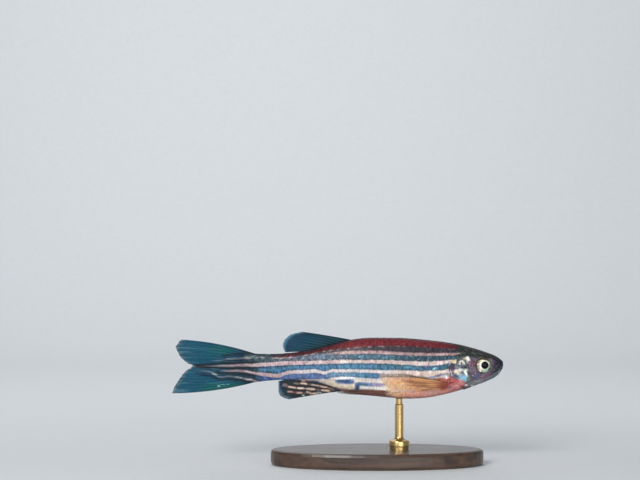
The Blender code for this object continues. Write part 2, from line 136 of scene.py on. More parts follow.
BACK = along_body(BACK_LINE)
BELLY = along_body(BELLY_LINE)
HALF_WIDTH = along_body(HALF_WIDTH_LINE)
UPPER_SQUARE = along_body(UPPER_SQUARE_LINE)
LOWER_SQUARE = along_body(LOWER_SQUARE_LINE)


def smooth(low, high, x):
    t = np.clip((x - low) / (high - low), 0, 1)
    return t * t * (3 - 2 * t)


def bump(distance, width):
    return np.exp(-(distance / width) ** 2)


def noise(x, y, z, seed=0):
    """Smooth value noise of arrays, from -1 to 1."""
    x, y, z = np.broadcast_arrays(x, y, z)
    total = 0
    base = [np.floor(c).astype(np.int64) for c in (x, y, z)]
    part = [c - b for c, b in zip((x, y, z), base)]
    part = [p * p * (3 - 2 * p) for p in part]
    for corner in np.ndindex(2, 2, 2):
        h = seed * 1013
        weight = 1.0
        for axis in range(3):
            h = h + (base[axis] + corner[axis]) * (374761393, 668265263, 2147483647)[axis]
            weight = weight * (part[axis] if corner[axis] else 1 - part[axis])
        h = (h ^ (h >> 13)) * 1274126177 & 0x7FFFFFFF
        h = (h ^ (h >> 16)) & 0xFFFF
        total = total + weight * (h / 32767.5 - 1)
    return total


def grain(place, fineness, seed):
    """Noise at a place, with one fineness or one for each axis."""
    return noise(*(c * f for c, f in zip(place, np.broadcast_to(fineness, 3))), seed)


def skin_point(d, theta, inset=0.0):
    """Points of the smooth body. Angle 0 is the back, a quarter turn the left flank."""
    back, belly = BACK(d) - inset, BELLY(d) + inset
    widest = belly + WIDEST_SHARE * (back - belly)
    s, c = np.sin(theta), np.cos(theta)
    square = np.where(c > 0, UPPER_SQUARE(d), LOWER_SQUARE(d))
    reach = np.where(c > 0, back - widest, widest - belly)
    y = (HALF_WIDTH(d) - inset) * np.sign(s) * np.abs(s) ** (2 / square)
    z = widest + reach * np.sign(c) * np.abs(c) ** (2 / square)
    return np.stack(np.broadcast_arrays(d, y, z), -1)


# A table of angles at even steps of the way round each section

STATIONS = np.concatenate([np.linspace(0, 1.98, 100) ** 2 / 1.98, np.linspace(2.02, 33.2, 400)])
SHARES = np.linspace(0, 1, 361)


def way_round():
    fine = np.linspace(0, math.tau, 1441)
    angles, lengths, middles = [], [], []
    for d in STATIONS:
        p = skin_point(np.full_like(fine, max(d, 1e-4)), fine)
        steps = np.linalg.norm(np.diff(p, axis=0), axis=1)
        gone = np.concatenate([[0], np.cumsum(steps)])
        angles.append(np.interp(SHARES, gone / gone[-1], fine))
        lengths.append(gone[-1])
        middles.append(np.interp(math.pi / 2, fine, gone / gone[-1]))
    return np.array(angles), np.array(lengths), np.array(middles)


ANGLES, LENGTHS, MIDDLES = way_round()


def angle_at(d, share):
    """The angle at a share of the way round the section from the back, by the left side."""
    d, share = np.broadcast_arrays(d, share)
    i = np.clip(np.searchsorted(STATIONS, d) - 1, 0, len(STATIONS) - 2)
    f = np.clip((d - STATIONS[i]) / (STATIONS[i + 1] - STATIONS[i]), 0, 1)
    place = (share % 1.0) * (len(SHARES) - 1)
    j = np.clip(place.astype(int), 0, len(SHARES) - 2)
    g = place - j
    near = ANGLES[i, j] * (1 - g) + ANGLES[i, j + 1] * g
    far = ANGLES[i + 1, j] * (1 - g) + ANGLES[i + 1, j + 1] * g
    return near * (1 - f) + far * f


def line_distance(d, z, line):
    """Distance to a line of points, on which side (1 to the left of its way), and how far along it."""
    best = np.full(np.shape(d), 1e9)
    side = np.zeros(np.shape(d))
    along = np.zeros(np.shape(d))
    gone = 0.0
    for (d0, z0), (d1, z1) in zip(line, line[1:]):
        vd, vz = d1 - d0, z1 - z0
        length = math.hypot(vd, vz)
        t = np.clip(((d - d0) * vd + (z - z0) * vz) / length ** 2, 0, 1)
        away = np.hypot(d - d0 - t * vd, z - z0 - t * vz)
        closer = away < best
        best = np.where(closer, away, best)
        side = np.where(closer, np.sign(vd * (z - z0) - vz * (d - d0)), side)
        along = np.where(closer, gone + t * length, along)
        gone += length
    return best, side, along


def curve_points(line, count=40):
    at = spline(range(len(line)), line)
    return [tuple(p) for p in at(np.linspace(0, len(line) - 1, count))]


GILL_CURVE = curve_points(GILL_LINE)
PAINT_EDGE = curve_points(((5.75, 1.9), (5.9, 1.1), (5.95, 0.3), (6.2, -0.35), (6.5, -1.0), (6.35, -1.6),
                           (5.6, -2.45), (4.9, -3.1), (4.4, -3.6)))
CHEEK_CURVE = curve_points(((4.2, 0.85), (4.35, 0.1), (4.3, -0.8), (3.95, -1.45), (3.2, -1.85), (2.4, -1.75)))
UNDER_GILL_CURVE = curve_points(((4.5, -1.75), (5.3, -1.85), (6.0, -1.75), (6.6, -1.3)))
JAW_CURVE = curve_points(((1.15, -0.75), (1.55, -1.05), (2.2, -1.35), (3.0, -1.95), (4.2, -2.6)))
ORBIT_CURVE = curve_points(((1.25, -0.1), (1.5, -0.75), (2.1, -1.2), (2.9, -1.25), (3.6, -0.85), (3.95, -0.2),
                            (3.85, 0.6)))


# Seams and folds of the bare head: line, depth, half width

FOLDS = ((CHEEK_CURVE, 0.05, 0.07), (UNDER_GILL_CURVE, 0.035, 0.06), (ORBIT_CURVE, 0.025, 0.06))
RELIEF_END = 9.5
NOSTRIL_SQUASH = 1.2


def relief(d, y, z):
    """How far the skin stands out of the smooth body, in millimetres."""
    h = np.zeros(np.shape(d))
    near = d < RELIEF_END
    dn, yn, zn = d[near], y[near], z[near]
    out = np.zeros(dn.shape)
    # orbit: a soft ring round the eye, then a steep wall down behind the eyeball
    r = np.hypot(dn - EYE[0], zn - EYE[1])
    out += 0.035 * bump(r - 1.06, 0.1)
    out -= 0.13 * (1 - smooth(EYE_RADIUS, 1.45, r))
    out -= 0.5 * (1 - smooth(EYE_RADIUS - 0.1, EYE_RADIUS, r))
    dn, zn = as_seen(dn, yn, zn)
    # mouth: a slit between two lips
    away, _, along = line_distance(dn, zn, MOUTH)
    gone = 1 - smooth(1.3, 1.55, along)
    out -= 0.09 * bump(away, 0.04) * gone
    out += 0.03 * bump(away - 0.14, 0.08) * gone
    away, _, along = line_distance(dn, zn, JAW_CURVE)
    out -= 0.025 * bump(away, 0.07) * (1 - smooth(2.0, 3.2, along))
    # nostrils: two openings with a flap of skin between them
    for nd, nz, nr in NOSTRILS:
        r = np.hypot(dn - nd, (zn - nz) * NOSTRIL_SQUASH)
        out -= 0.16 * (1 - smooth(nr * 0.6, nr, r))
        out += 0.03 * bump(r - nr * 1.25, nr * 0.3)
    # the gill cover stands over the shoulder, and its plates show as shallow seams
    away, side, along = line_distance(dn, zn, GILL_CURVE)
    open_gill = smooth(0.0, 0.7, along) * (1 - smooth(6.4, 7.0, along))
    step = smooth(-0.05, 0.05, away * side)
    out += open_gill * 0.11 * (1 - step) * np.exp(-away / 0.9)
    out -= open_gill * 0.1 * step * np.exp(-away / 0.3)
    for line, deep, wide in FOLDS:
        away, _, _ = line_distance(dn, zn, line)
        out -= deep * bump(away, wide)
        out += deep * 0.5 * bump(away - wide * 2, wide * 1.3)
    # gill membranes under the head
    for k in range(3):
        line = [(3.0 + 0.3 * k + 2.6 * t, -2.02 - 0.16 * k - 0.75 * t - 0.2 * t * t)
                for t in np.linspace(0, 1, 8)]
        away, _, _ = line_distance(dn, zn, line)
        out -= 0.025 * bump(away, 0.05)
    # small pores and unevenness of the bare head
    bare = 1 - smooth(5.5, 7.0, dn)
    out += bare * 0.012 * grain((dn, yn, zn), 3, 3)
    out += bare * 0.005 * grain((dn, yn, zn), 9, 4)
    h[near] = out
    # a low shoulder behind the gill opening, where the breast fin is rooted
    shoulder = np.hypot((d - 7.6) / 0.7, (z + 2.2) / 0.8)
    return h + 0.1 * np.exp(-shoulder ** 2)


# Colours, as 8-bit sRGB, and the markings that skin, scales and fins share

COLOURS = {
    "back": (114, 45, 52), "back_rear": (80, 38, 42), "stalk": (40, 56, 62), "ridge": (38, 52, 62),
    "dusk": (62, 56, 62), "deep": (40, 64, 76), "teal": (56, 82, 98), "mist": (74, 84, 100),
    "smoke": (66, 70, 84), "sea": (56, 98, 122), "sky": (76, 122, 154), "haze": (112, 146, 174),
    "iris": (104, 128, 172), "indigo": (62, 84, 142), "night": (20, 28, 38), "pink": (160, 132, 132),
    "cream": (188, 171, 166), "cream_rear": (176, 152, 158), "shell": (210, 188, 178),
    "pale": (204, 197, 198), "gold": (214, 158, 114), "amber": (236, 184, 128), "salmon": (255, 178, 160),
    "maroon": (146, 110, 110), "brown": (136, 92, 74), "peach": (238, 192, 150), "crown": (48, 50, 51),
    "moss": (84, 98, 86), "cheek": (96, 88, 102), "snout": (32, 40, 48), "chin": (110, 132, 136),
    "steel": (196, 208, 216), "ice": (140, 184, 210), "cyan": (120, 196, 210), "mint": (196, 206, 180),
    "bone": (226, 214, 196), "red": (204, 100, 100), "plum": (66, 48, 64), "white": (240, 240, 236),
    "lemon": (216, 200, 150), "mauve": (122, 82, 106), "wine": (102, 54, 72), "olive": (92, 88, 58),
    "umber": (48, 40, 36), "slate": (78, 86, 116), "ash": (104, 114, 124), "lilac": (160, 154, 192),
    "rose": (202, 172, 168), "grey": (112, 118, 112), "soot": (26, 28, 34), "glint": (140, 192, 198),
    "lagoon": (0, 76, 100), "lagoon_root": (10, 58, 76), "fern": (10, 88, 84), "navy": (10, 38, 74),
    "gill": (62, 72, 78), "silver": (150, 158, 158), "dash": (196, 182, 166), "faint": (96, 98, 98),
}


def linear(colour):
    c = np.asarray(colour, float) / 255
    return np.where(c <= 0.04045, c / 12.92, ((c + 0.055) / 1.055) ** 2.4)


PAINTS = {name: linear(colour) for name, colour in COLOURS.items()}


def coats(under, *layers):
    """Paints colours over others in turn, each by a share of 0 to 1 at each point."""
    for colour, share in layers:
        over = PAINTS[colour] if isinstance(colour, str) else linear(colour)
        under = under + (over - under) * np.clip(share, 0, 1)[..., None]
    return under


def mix(under, over, share):
    return under + (over - under) * np.asarray(share)[..., None]


def plain(colour, shape):
    over = PAINTS[colour] if isinstance(colour, str) else linear(colour)
    return np.broadcast_to(over, (*shape, 3))


def ramp(d, *stops):
    """Colours that pass from one named colour to the next along the body."""
    keys = [key for key, _ in stops]
    colours = np.array([PAINTS[name] for _, name in stops])
    return np.stack([np.interp(d, keys, colours[:, c]) for c in range(3)], -1)


def as_seen(d, y, z):
    """Where a line from the camera through a point of the near flank meets the middle plane.

    The marks' places were read in the picture at the scale of the middle plane.
    """
    grow = CAMERA[1] / (CAMERA[1] - np.abs(y))
    return CAMERA[0] + (d - CAMERA[0]) * grow, CAMERA[2] + (z - CAMERA[2]) * grow


def marked(under, table, d, z, edge):
    """Paints a table's oval marks, with edges of that softness. Tilt turns the long axis, in degrees."""
    for mark_d, mark_z, half_long, half_wide, tilt, colour, strength in table:
        turn = math.radians(tilt)
        along = (d - mark_d) * math.cos(turn) + (z - mark_z) * math.sin(turn)
        across = (z - mark_z) * math.cos(turn) - (d - mark_d) * math.sin(turn)
        r = (np.abs(along / half_long) ** 3 + np.abs(across / half_wide) ** 3) ** (1 / 3)
        under = coats(under, (colour, (1 - smooth(1 - edge, 1 + edge, r)) * strength))
    return under


def strand_distance(d, z, row):
    """Distance to a line that is given as one row of numbers, two for each point."""
    return line_distance(d, z, list(zip(row[::2], row[1::2])))[0]


def light_line(stations, start, end, fade):
    """A light stripe from (behind, middle, half width), between two distances behind the snout."""
    keys = [s[0] for s in stations]
    middle = spline(keys, [s[1] for s in stations])
    half = spline(keys, [s[2] for s in stations])

    def share(d, z, soft=0.09):
        away = np.abs(z - middle(d)) - half(d)
        there = smooth(start - 0.25, start + 0.25, d) * (1 - smooth(end - fade, end, d))
        return (1 - smooth(-soft / 2, soft / 2, away)) * there, bump(away - 0.08, 0.1) * there

    return middle, share


PINK_LINE = light_line(((5.7, 1.52, 0.14), (8.3, 1.48, 0.17), (11.8, 1.53, 0.18), (14.5, 1.67, 0.19),
                        (17.1, 1.77, 0.18), (19.8, 1.7, 0.17), (21.5, 1.63, 0.13), (24, 1.5, 0.08)),
                       5.8, 23.0, 3.0)
UPPER_LINE = light_line(((5.6, 0.68, 0.18), (6.7, 0.58, 0.2), (8.3, 0.37, 0.26), (10.0, 0.27, 0.29),
                         (11.8, 0.38, 0.25), (14.5, 0.51, 0.22), (17.1, 0.57, 0.19), (19.8, 0.58, 0.21),
                         (22.6, 0.48, 0.21), (25.3, 0.42, 0.22), (27.9, 0.33, 0.24), (30.2, 0.2, 0.22),
                         (31.5, 0.13, 0.19), (33.0, 0.11, 0.17), (35.6, 0.02, 0.12), (38, -0.06, 0.06),
                         (39.5, -0.1, 0.04)), 5.9, 39.0, 4.0)
MIDDLE_LINE = light_line(((6.4, -0.5, 0.2), (7.0, -0.62, 0.18), (8.3, -0.8, 0.22), (9.2, -0.96, 0.34),
                          (10.4, -1.0, 0.36), (11.8, -0.8, 0.23), (14.5, -0.74, 0.21), (17.1, -0.66, 0.17),
                          (19.4, -0.6, 0.18), (21.0, -0.6, 0.18), (21.8, -0.6, 0.17), (22.5, -0.83, 0.18),
                          (23.5, -0.68, 0.2), (25.5, -0.73, 0.21), (27.3, -0.83, 0.2), (28.6, -1.22, 0.22),
                          (29.6, -1.15, 0.2), (30.9, -1.0, 0.18), (31.8, -0.83, 0.14), (33.2, -0.6, 0.13),
                          (34.9, -0.59, 0.1), (36.8, -0.5, 0.05)), 6.85, 36.4, 2.0)
LOWER_LINE = light_line(((15.0, -1.75, 0.12), (17.1, -1.72, 0.17), (18.8, -1.56, 0.14), (20.3, -1.48, 0.13),
                         (21.5, -1.6, 0.17), (22.5, -1.85, 0.2), (24.0, -1.75, 0.08), (25.3, -1.72, 0.09),
                         (27.5, -1.9, 0.05), (30.6, -2.15, 0.08), (32.0, -1.8, 0.13), (33.4, -1.5, 0.12),
                         (34.7, -1.31, 0.12), (35.7, -1.4, 0.12), (36.25, -1.32, 0.12), (36.6, -1.02, 0.13),
                         (37.0, -0.82, 0.12), (38.0, -0.65, 0.1), (39.2, -0.48, 0.07)), 15.2, 39.4, 2.5)
TOP_TAIL_LINE = light_line(((31.6, 1.08, 0.14), (32.3, 1.05, 0.16), (33.3, 0.98, 0.1), (34.0, 0.9, 0.08),
                            (34.7, 0.86, 0.12), (35.4, 0.8, 0.07), (36.9, 0.58, 0.1), (37.6, 0.5, 0.06)),
                           32.0, 37.8, 3.2)
BACK_EDGE = spline((5.8, 8.3, 10.0, 11.8, 17.1, 19.8, 22.6, 25.3, 27.9, 30.5, 33),
                   (2.15, 2.22, 2.34, 2.45, 2.43, 2.2, 1.85, 1.32, 1.03, 1.1, 1.3))

# Oval marks, as seen: behind the snout, above the axis, half length, half width, tilt, colour, strength

# The white, bone and steel marks on the gill cover are partly its own silvery patches and partly painted
# highlights of the front light.
HEAD_MARKS = (
    (3.45, -1.25, 0.42, 0.32, 0, "slate", 0.75), (2.2, -1.3, 0.75, 0.2, -27, "mauve", 0.8),
    (2.65, -1.75, 0.5, 0.18, -22, "brown", 0.35), (1.03, 0.1, 0.2, 0.62, 0, "plum", 0.8),
    (3.86, 0.4, 0.3, 0.42, 12, "wine", 0.85), (4.22, 0.2, 0.16, 0.34, 8, "mauve", 0.75),
    (3.6, -0.55, 0.32, 0.2, 0, "mauve", 0.35), (2.72, -0.94, 0.24, 0.08, -8, "soot", 0.85),
    (2.15, 1.14, 0.5, 0.18, -8, "umber", 0.85), (2.8, 1.1, 0.3, 0.1, 4, "olive", 0.85),
    (3.45, 0.72, 0.22, 0.16, 30, "olive", 0.5), (3.02, 1.62, 0.34, 0.05, 24, "grey", 0.5),
    (3.7, 1.62, 0.3, 0.12, 20, "moss", 0.7), (3.83, 2.06, 0.16, 0.05, 20, "grey", 0.5),
    (4.64, 2.06, 0.2, 0.07, 10, "brown", 0.2), (4.98, 1.64, 0.16, 0.08, 0, "moss", 0.9),
    (5.42, 1.57, 0.16, 0.12, 0, "moss", 0.8), (5.16, 1.76, 0.1, 0.05, 0, "grey", 0.8),
    (4.3, 1.35, 0.36, 0.14, 15, "soot", 0.5), (5.25, 1.0, 0.3, 0.2, 0, "moss", 0.6),
    (5.75, 0.92, 0.3, 0.2, 0, "deep", 0.7), (5.71, 1.6, 0.16, 0.08, -8, "rose", 0.8),
    (5.4, -0.85, 0.6, 0.3, 0, "silver", 0.5), (5.3, 0.08, 0.6, 0.4, 0, "slate", 0.3),
    (4.98, -0.09, 0.3, 0.12, 0, "night", 0.8), (5.74, -0.22, 0.32, 0.22, 0, "ash", 0.85),
    (4.86, 0.92, 0.2, 0.12, 0, "lemon", 0.7), (4.48, 0.93, 0.2, 0.28, -22, "white", 1.0),
    (5.5, 0.3, 0.1, 0.14, -20, "steel", 0.9), (5.3, 0.56, 0.3, 0.09, -14, "bone", 0.85),
    (4.98, 0.42, 0.2, 0.1, 60, "bone", 0.95), (5.1, 0.37, 0.1, 0.08, 0, "lemon", 0.7),
    (3.35, -1.95, 0.85, 0.22, -20, "silver", 0.6), (5.86, -0.7, 0.38, 0.25, 8, "bone", 0.95),
    (5.4, -0.5, 0.28, 0.15, 8, "white", 0.7), (5.14, -0.8, 0.1, 0.16, 0, "night", 0.75),
    (4.78, -0.56, 0.26, 0.2, 0, "mint", 0.9), (4.52, -0.8, 0.1, 0.22, -10, "night", 0.5),
    (5.5, -1.02, 0.34, 0.12, 15, "pale", 0.6), (5.16, -1.5, 0.5, 0.4, 0, "ice", 0.95),
    (5.8, -1.3, 0.34, 0.05, 28, "indigo", 0.8), (5.35, -1.82, 0.32, 0.12, -4, "pale", 0.75),
    (4.77, -1.52, 0.12, 0.4, 4, "cyan", 0.9), (4.74, -0.95, 0.36, 0.14, 68, "white", 1.0),
    (4.42, -1.6, 0.14, 0.36, 6, "grey", 0.9), (3.9, -1.95, 0.55, 0.16, -14, "grey", 0.45),
    (4.62, -1.55, 0.035, 0.36, 4, "night", 0.55), (5.95, -2.1, 1.0, 0.42, 10, "red", 0.9),
    (6.4, -2.85, 0.65, 0.26, 15, "mauve", 0.5), (5.84, -2.41, 0.28, 0.14, 14, "rose", 0.9),
    (5.4, -2.15, 0.5, 0.16, 10, "rose", 0.35), (4.83, -2.7, 0.4, 0.1, 14, "plum", 0.8),
    (4.73, -2.4, 0.13, 0.12, 0, "white", 0.9), (3.94, -2.46, 0.12, 0.1, 0, "white", 0.85),
    (4.34, -2.44, 0.4, 0.035, 0, "pale", 0.6), (1.43, -0.13, 0.09, 0.07, 0, "chin", 0.8),
    (3.87, -1.23, 0.08, 0.07, 0, "rose", 0.9), (3.5, -0.95, 0.07, 0.06, 0, "rose", 0.5),
    (3.2, -1.55, 0.08, 0.06, 0, "lilac", 0.6), (2.6, -1.1, 0.09, 0.05, -20, "lilac", 0.4),
)
FLANK_MARKS = (
    (6.45, -0.2, 0.5, 0.42, -20, "plum", 0.85), (6.2, 0.52, 0.26, 0.19, 0, "lemon", 0.85),
    (6.55, -0.85, 0.36, 0.5, -8, "mauve", 0.75), (6.62, -0.85, 0.05, 0.32, -6, "white", 0.85),
    (6.38, -1.1, 0.05, 0.25, -10, "pale", 0.6), (8.78, -0.37, 0.17, 0.14, 10, "glint", 0.95),
    (8.52, -0.22, 0.16, 0.08, 20, "glint", 0.7), (12.1, -0.15, 0.5, 0.1, -8, "cyan", 0.3),
    (9.6, -0.1, 0.7, 0.24, 0, "indigo", 0.4), (9.7, -0.2, 0.6, 0.12, 0, "plum", 0.4),
    (8.4, -1.28, 1.2, 0.13, -14, "slate", 0.75), (9.1, -1.5, 0.45, 0.08, -5, "lilac", 0.7),
    (7.5, -1.42, 0.5, 0.13, 15, "pale", 0.5), (7.4, -2.4, 0.85, 0.62, 0, "red", 0.85),
    (9.3, -2.35, 1.2, 0.4, 10, "brown", 0.7), (6.6, -2.7, 0.6, 0.32, 10, "mauve", 0.4),
    (7.0, -2.9, 0.2, 0.12, 0, "rose", 0.5), (6.6, -2.45, 0.3, 0.1, 20, "rose", 0.35),
    (6.85, -1.3, 0.24, 0.5, 10, "plum", 0.6), (7.06, -1.16, 0.2, 0.46, 12, "white", 1.0),
    (5.86, -2.43, 0.22, 0.11, 12, "rose", 0.95), (13.5, -2.05, 0.55, 0.16, 5, "amber", 0.9),
    (12.6, -2.55, 0.28, 0.15, 0, "lemon", 0.8), (11.5, -2.15, 0.45, 0.08, 4, "amber", 0.8),
    (12.1, -2.0, 1.8, 0.045, -3, "brown", 0.6), (9.6, -2.26, 1.2, 0.06, 8, "brown", 0.7),
    (13.3, -3.2, 0.9, 0.2, 0, "bone", 0.5), (13.6, -3.36, 0.55, 0.05, -5, "olive", 0.5),
    (11.7, -3.2, 0.5, 0.16, 10, "rose", 0.8), (13.2, -3.62, 0.6, 0.1, 4, "peach", 0.6),
    (12.9, -1.3, 2.8, 0.12, 0, "grey", 0.85), (11.6, -1.4, 2.0, 0.035, 4, "umber", 0.6),
    (20.1, -1.94, 1.2, 0.36, 3, "lilac", 0.9), (19.35, -1.9, 0.42, 0.3, 3, "lilac", 0.9),
    (20.85, -1.98, 0.42, 0.3, 3, "lilac", 0.9), (20.1, -1.94, 1.14, 0.24, 3, "sea", 0.95),
    (20.2, -1.54, 1.35, 0.12, -2, "white", 1.0), (20.0, -1.96, 0.8, 0.14, 2, "indigo", 0.6),
    (17.0, -2.32, 1.75, 0.3, 2, "lilac", 0.7), (18.5, -2.6, 0.34, 0.48, 0, "indigo", 0.9),
    (18.5, -2.7, 0.2, 0.36, 0, "deep", 0.7), (17.5, -2.3, 1.1, 0.22, 3, "iris", 0.9),
    (17.7, -2.34, 0.8, 0.14, 3, "sea", 0.8), (15.9, -2.36, 0.9, 0.19, 0, "lilac", 0.95),
    (19.3, -2.7, 0.45, 0.22, 0, "bone", 0.8), (16.35, -2.79, 1.75, 0.15, 2, "white", 0.9),
    (19.45, -2.64, 0.4, 0.17, 0, "lemon", 0.6), (9.2, -3.35, 1.1, 0.3, 5, "rose", 0.45),
    (22.2, -2.1, 1.3, 0.3, 14, "bone", 0.6), (21.3, -2.3, 0.6, 0.12, 10, "lemon", 0.5),
    (18.2, 1.2, 0.1, 0.1, 0, "glint", 0.7), (14.8, 1.05, 0.1, 0.25, 0, "haze", 0.6),
    (6.35, 1.0, 0.4, 0.22, 0, "deep", 0.6),
)


def specks(place, fineness, seed):
    """Small bright grains: specks of the fish's own colour, and painted glints where they carry the glint
    colour.
    """
    return smooth(0.45, 0.8, grain(place, fineness, seed))


def head_colour(d, z, place):
    x, y, w = place
    zw = z + 0.06 * grain(place, 2.2, 11) + 0.035 * grain(place, 7, 13) + 0.03 * grain(place, 15, 10)
    dw = d + 0.06 * noise(x * 2, y * 2 + 9, w * 2, 12) + 0.035 * noise(x * 7, y * 7 + 5, w * 7, 14)
    cover = smooth(4.0, 4.5, dw + 0.1 * zw)
    patches = grain(place, 3.2, 8) + 0.6 * grain(place, 8, 7)
    rim = smooth(-0.2, 0.2, BELLY(d) + 0.55 - zw) * smooth(0.1, 0.4, dw) * (1 - smooth(2.0, 4.8, dw))
    col = coats(
        plain("cheek", np.shape(d)), ("snout", 1 - smooth(0.8, 2.1, dw + 0.35 * zw)),
        ("chin", rim * (0.65 + 0.25 * patches)), ("gill", cover * 0.85),
        ("silver", cover * smooth(0.0, 0.6, patches) * 0.7),
        ("plum", (1 - cover) * smooth(0.1, 0.9, -patches) * 0.5),
        ("crown", smooth(0.6, 1.15, zw - 0.05 * dw)),
        # painted shade: darker along the head's top outline, where the back turns away from the light
        ("soot", smooth(0.25, 0.05, BACK(d) - z) * smooth(4.5, 3.0, dw) * 0.6))
    col = marked(col, HEAD_MARKS, dw, zw, 0.6)
    mottle = grain(place, 5, 15) + 0.7 * grain(place, 11, 16)
    col = col * (1 + 0.22 * mottle + 0.12 * grain(place, 22, 20))[..., None]
    side = 1 - smooth(0.6, 1.2, zw)
    col = coats(col, ("rose", specks(place, 9, 17) * 0.45 * side),
                ("slate", specks(place, 6, 9) * 0.3 * side),
                ("moss", specks(place, 7, 18) * 0.6 * smooth(0.7, 1.2, zw)))
    return np.clip(col, 0, 1)


# The dark bands' colours along the body, from the back down, and the belly's

SECOND_BAND = ((6, "deep"), (11, "deep"), (14, "teal"), (19, "teal"), (21, "mist"), (27, "smoke"),
               (30.5, "stalk"))
FIRST_BAND = ((6, "deep"), (8.2, "sea"), (16, "sea"), (19.5, "sky"), (23, "sky"), (27, "sea"), (31.5, "deep"))
THIRD_BAND = ((14, "sky"), (18, "sky"), (20, "haze"), (21.5, "haze"), (22.5, "iris"), (27, "iris"),
              (30, "indigo"), (32, "deep"))
BELLY_BAND = ((6, "red"), (8.5, "brown"), (10.5, "gold"), (12.5, "peach"), (14.0, "peach"), (15.8, "bone"))
BACK_BAND = ((5.5, "back_rear"), (8, "back"), (19, "back"), (23, "back_rear"), (27, "back_rear"),
             (30, "stalk"))
BELLY_EDGE = spline((6.5, 8.5, 10.5, 13, 14.8, 15.6, 18, 21, 23.5, 33),
                    (-1.3, -1.55, -1.5, -1.42, -1.45, -1.62, -1.62, -1.55, -2.3, -2.6))
MAROON_HEIGHT = spline((12, 14, 16, 18.5, 20.5, 22, 24), (0.1, 0.3, 0.8, 0.7, 0.4, 0.15, 0.0))


def bands(d, zw, place):
    """The dark bands between the light lines."""
    patch = 0.5 + 0.5 * grain(place, (0.9, 1, 1.2), 23)
    upper, middle = UPPER_LINE[0](d), MIDDLE_LINE[0](d)
    first = coats(ramp(d, *FIRST_BAND), ("indigo", patch * 0.5 * smooth(18, 22, d)),
                  ("sky", bump(zw - (upper + middle) / 2, 0.17) * 0.6 * smooth(13, 18, d)),
                  ("deep", bump(zw - upper + 0.3, 0.14) * 0.45))
    third = coats(ramp(d, *THIRD_BAND), ("indigo", patch * 0.6 * smooth(21, 23, d)),
                  ("indigo", bump(d - 15.8, 0.25) * 0.5))
    round_end = smooth(15.5, 15.75, d - 1.8 * (zw + 1.2) ** 2)
    third = mix(plain("cream", np.shape(d)), third, round_end)
    col = plain("dusk", np.shape(d))
    col = mix(col, ramp(d, *SECOND_BAND), smooth(-0.08, 0.08, PINK_LINE[0](d) - zw))
    col = mix(col, first, smooth(-0.06, 0.06, upper - zw))
    return mix(col, third, smooth(-0.06, 0.06, middle - zw))


def belly_colour(d, z, zw, place):
    front = 1 - smooth(11.5, 14.5, d)
    blotch = smooth(0.0, 0.7, grain(place, (1.3, 1, 2.2), 29))
    return coats(
        ramp(d, *BELLY_BAND), ("bone", smooth(15.5, 17, d) * bump(zw + 2.0, 0.35) * 0.6),
        ("rose", bump(zw + 2.9, 0.4) * (1 - smooth(12, 14.5, d)) * 0.3),
        # the lower front belly's own pink, painted lighter than it is as painted light on the underside,
        # which faces down
        ("salmon", smooth(-0.2, 0.5, BELLY(d) + 1.0 - z) * front * smooth(5.5, 7.5, d)),
        ("rose", blotch * smooth(10, 12, d) * (1 - smooth(14, 15.5, d)) * 0.4),
        ("maroon", smooth(-0.15, 0.2, BELLY(d) + MAROON_HEIGHT(d) - z) * smooth(12.5, 15, d) * 0.95),
        # painted shade: a darker maroon strip along the bottom outline, where the belly turns away from the
        # light
        ("maroon", smooth(-0.25, 0.2, BELLY(d) + 0.25 - z) * 0.6))


def flank_colour(d, z, place):
    zw = (z + 0.03 * grain(place, (2.5, 1, 2.5), 21) + 0.04 * grain(place, (6.5, 1, 3), 22)
          + 0.03 * grain(place, (15, 1, 7), 32))
    low = smooth(-0.12, 0.12, BELLY_EDGE(d) - zw)
    col = mix(bands(d, zw, place), belly_colour(d, z, zw, place), low)
    tone = grain(place, (1.8, 1, 3), 24)
    for name, (_, share), strength in (("pink", PINK_LINE, 0.9), ("cream", UPPER_LINE, 0.97),
                                       ("shell", MIDDLE_LINE, 0.97), ("pale", LOWER_LINE, 0.9)):
        light, rim = share(d, zw)
        shell = smooth(13, 15, d) * (1 - smooth(25, 28, d)) * (name == "shell")
        col = coats(
            col, ("night", rim * 0.35 * (1 - low)), (name, light * strength),
            ("rose", light * 0.5 * smooth(0.0, 0.6, tone)),
            ("white", light * 0.35 * smooth(0.1, 0.7, -tone) * (name != "pink")),
            ("cream_rear", light * smooth(20, 26, d) * 0.9), ("pale", light * shell * 0.9))
    col = marked(col, FLANK_MARKS, d, zw, 0.24)
    above = zw - BACK_EDGE(d)
    col = coats(col, ("rose", bump(above, 0.07) * smooth(-0.1, 0.5, grain(place, (3, 1, 2), 25)) * 0.5))
    col = mix(col, ramp(d, *BACK_BAND), smooth(0.0, 0.16, above))
    # painted shade: darker along the back's top outline, where the body turns away from the light
    col = coats(col, ("ridge", smooth(0.3, 0.05, BACK(d) - z) * 0.8))
    return np.clip(grained(col, place, 0.3), 0, 1)


def grained(col, place, strength):
    """Fine grain, in upright streaks on the flank, that shows less on the light lines."""
    streak = grain(place, (7.5, 4, 3.2), 26) + 0.7 * grain(place, (13, 6, 8), 27)
    quiet = smooth(0.12, 0.5, col.mean(-1))
    col = col * (1 + strength * (1 - 0.65 * quiet) * streak)[..., None]
    blueish = smooth(-0.012, 0.03, col[..., 2] - col[..., 0])
    upright = smooth(0.15, 0.75, grain(place, (8, 4, 2.6), 30))
    # the glint specks in the blue bands are painted glints
    return coats(col, ("haze", upright * blueish * 0.3), ("glint", specks(place, 7.5, 28) * blueish * 0.4))


# Strands of the tail fin, as seen: line, half width, colour, strength

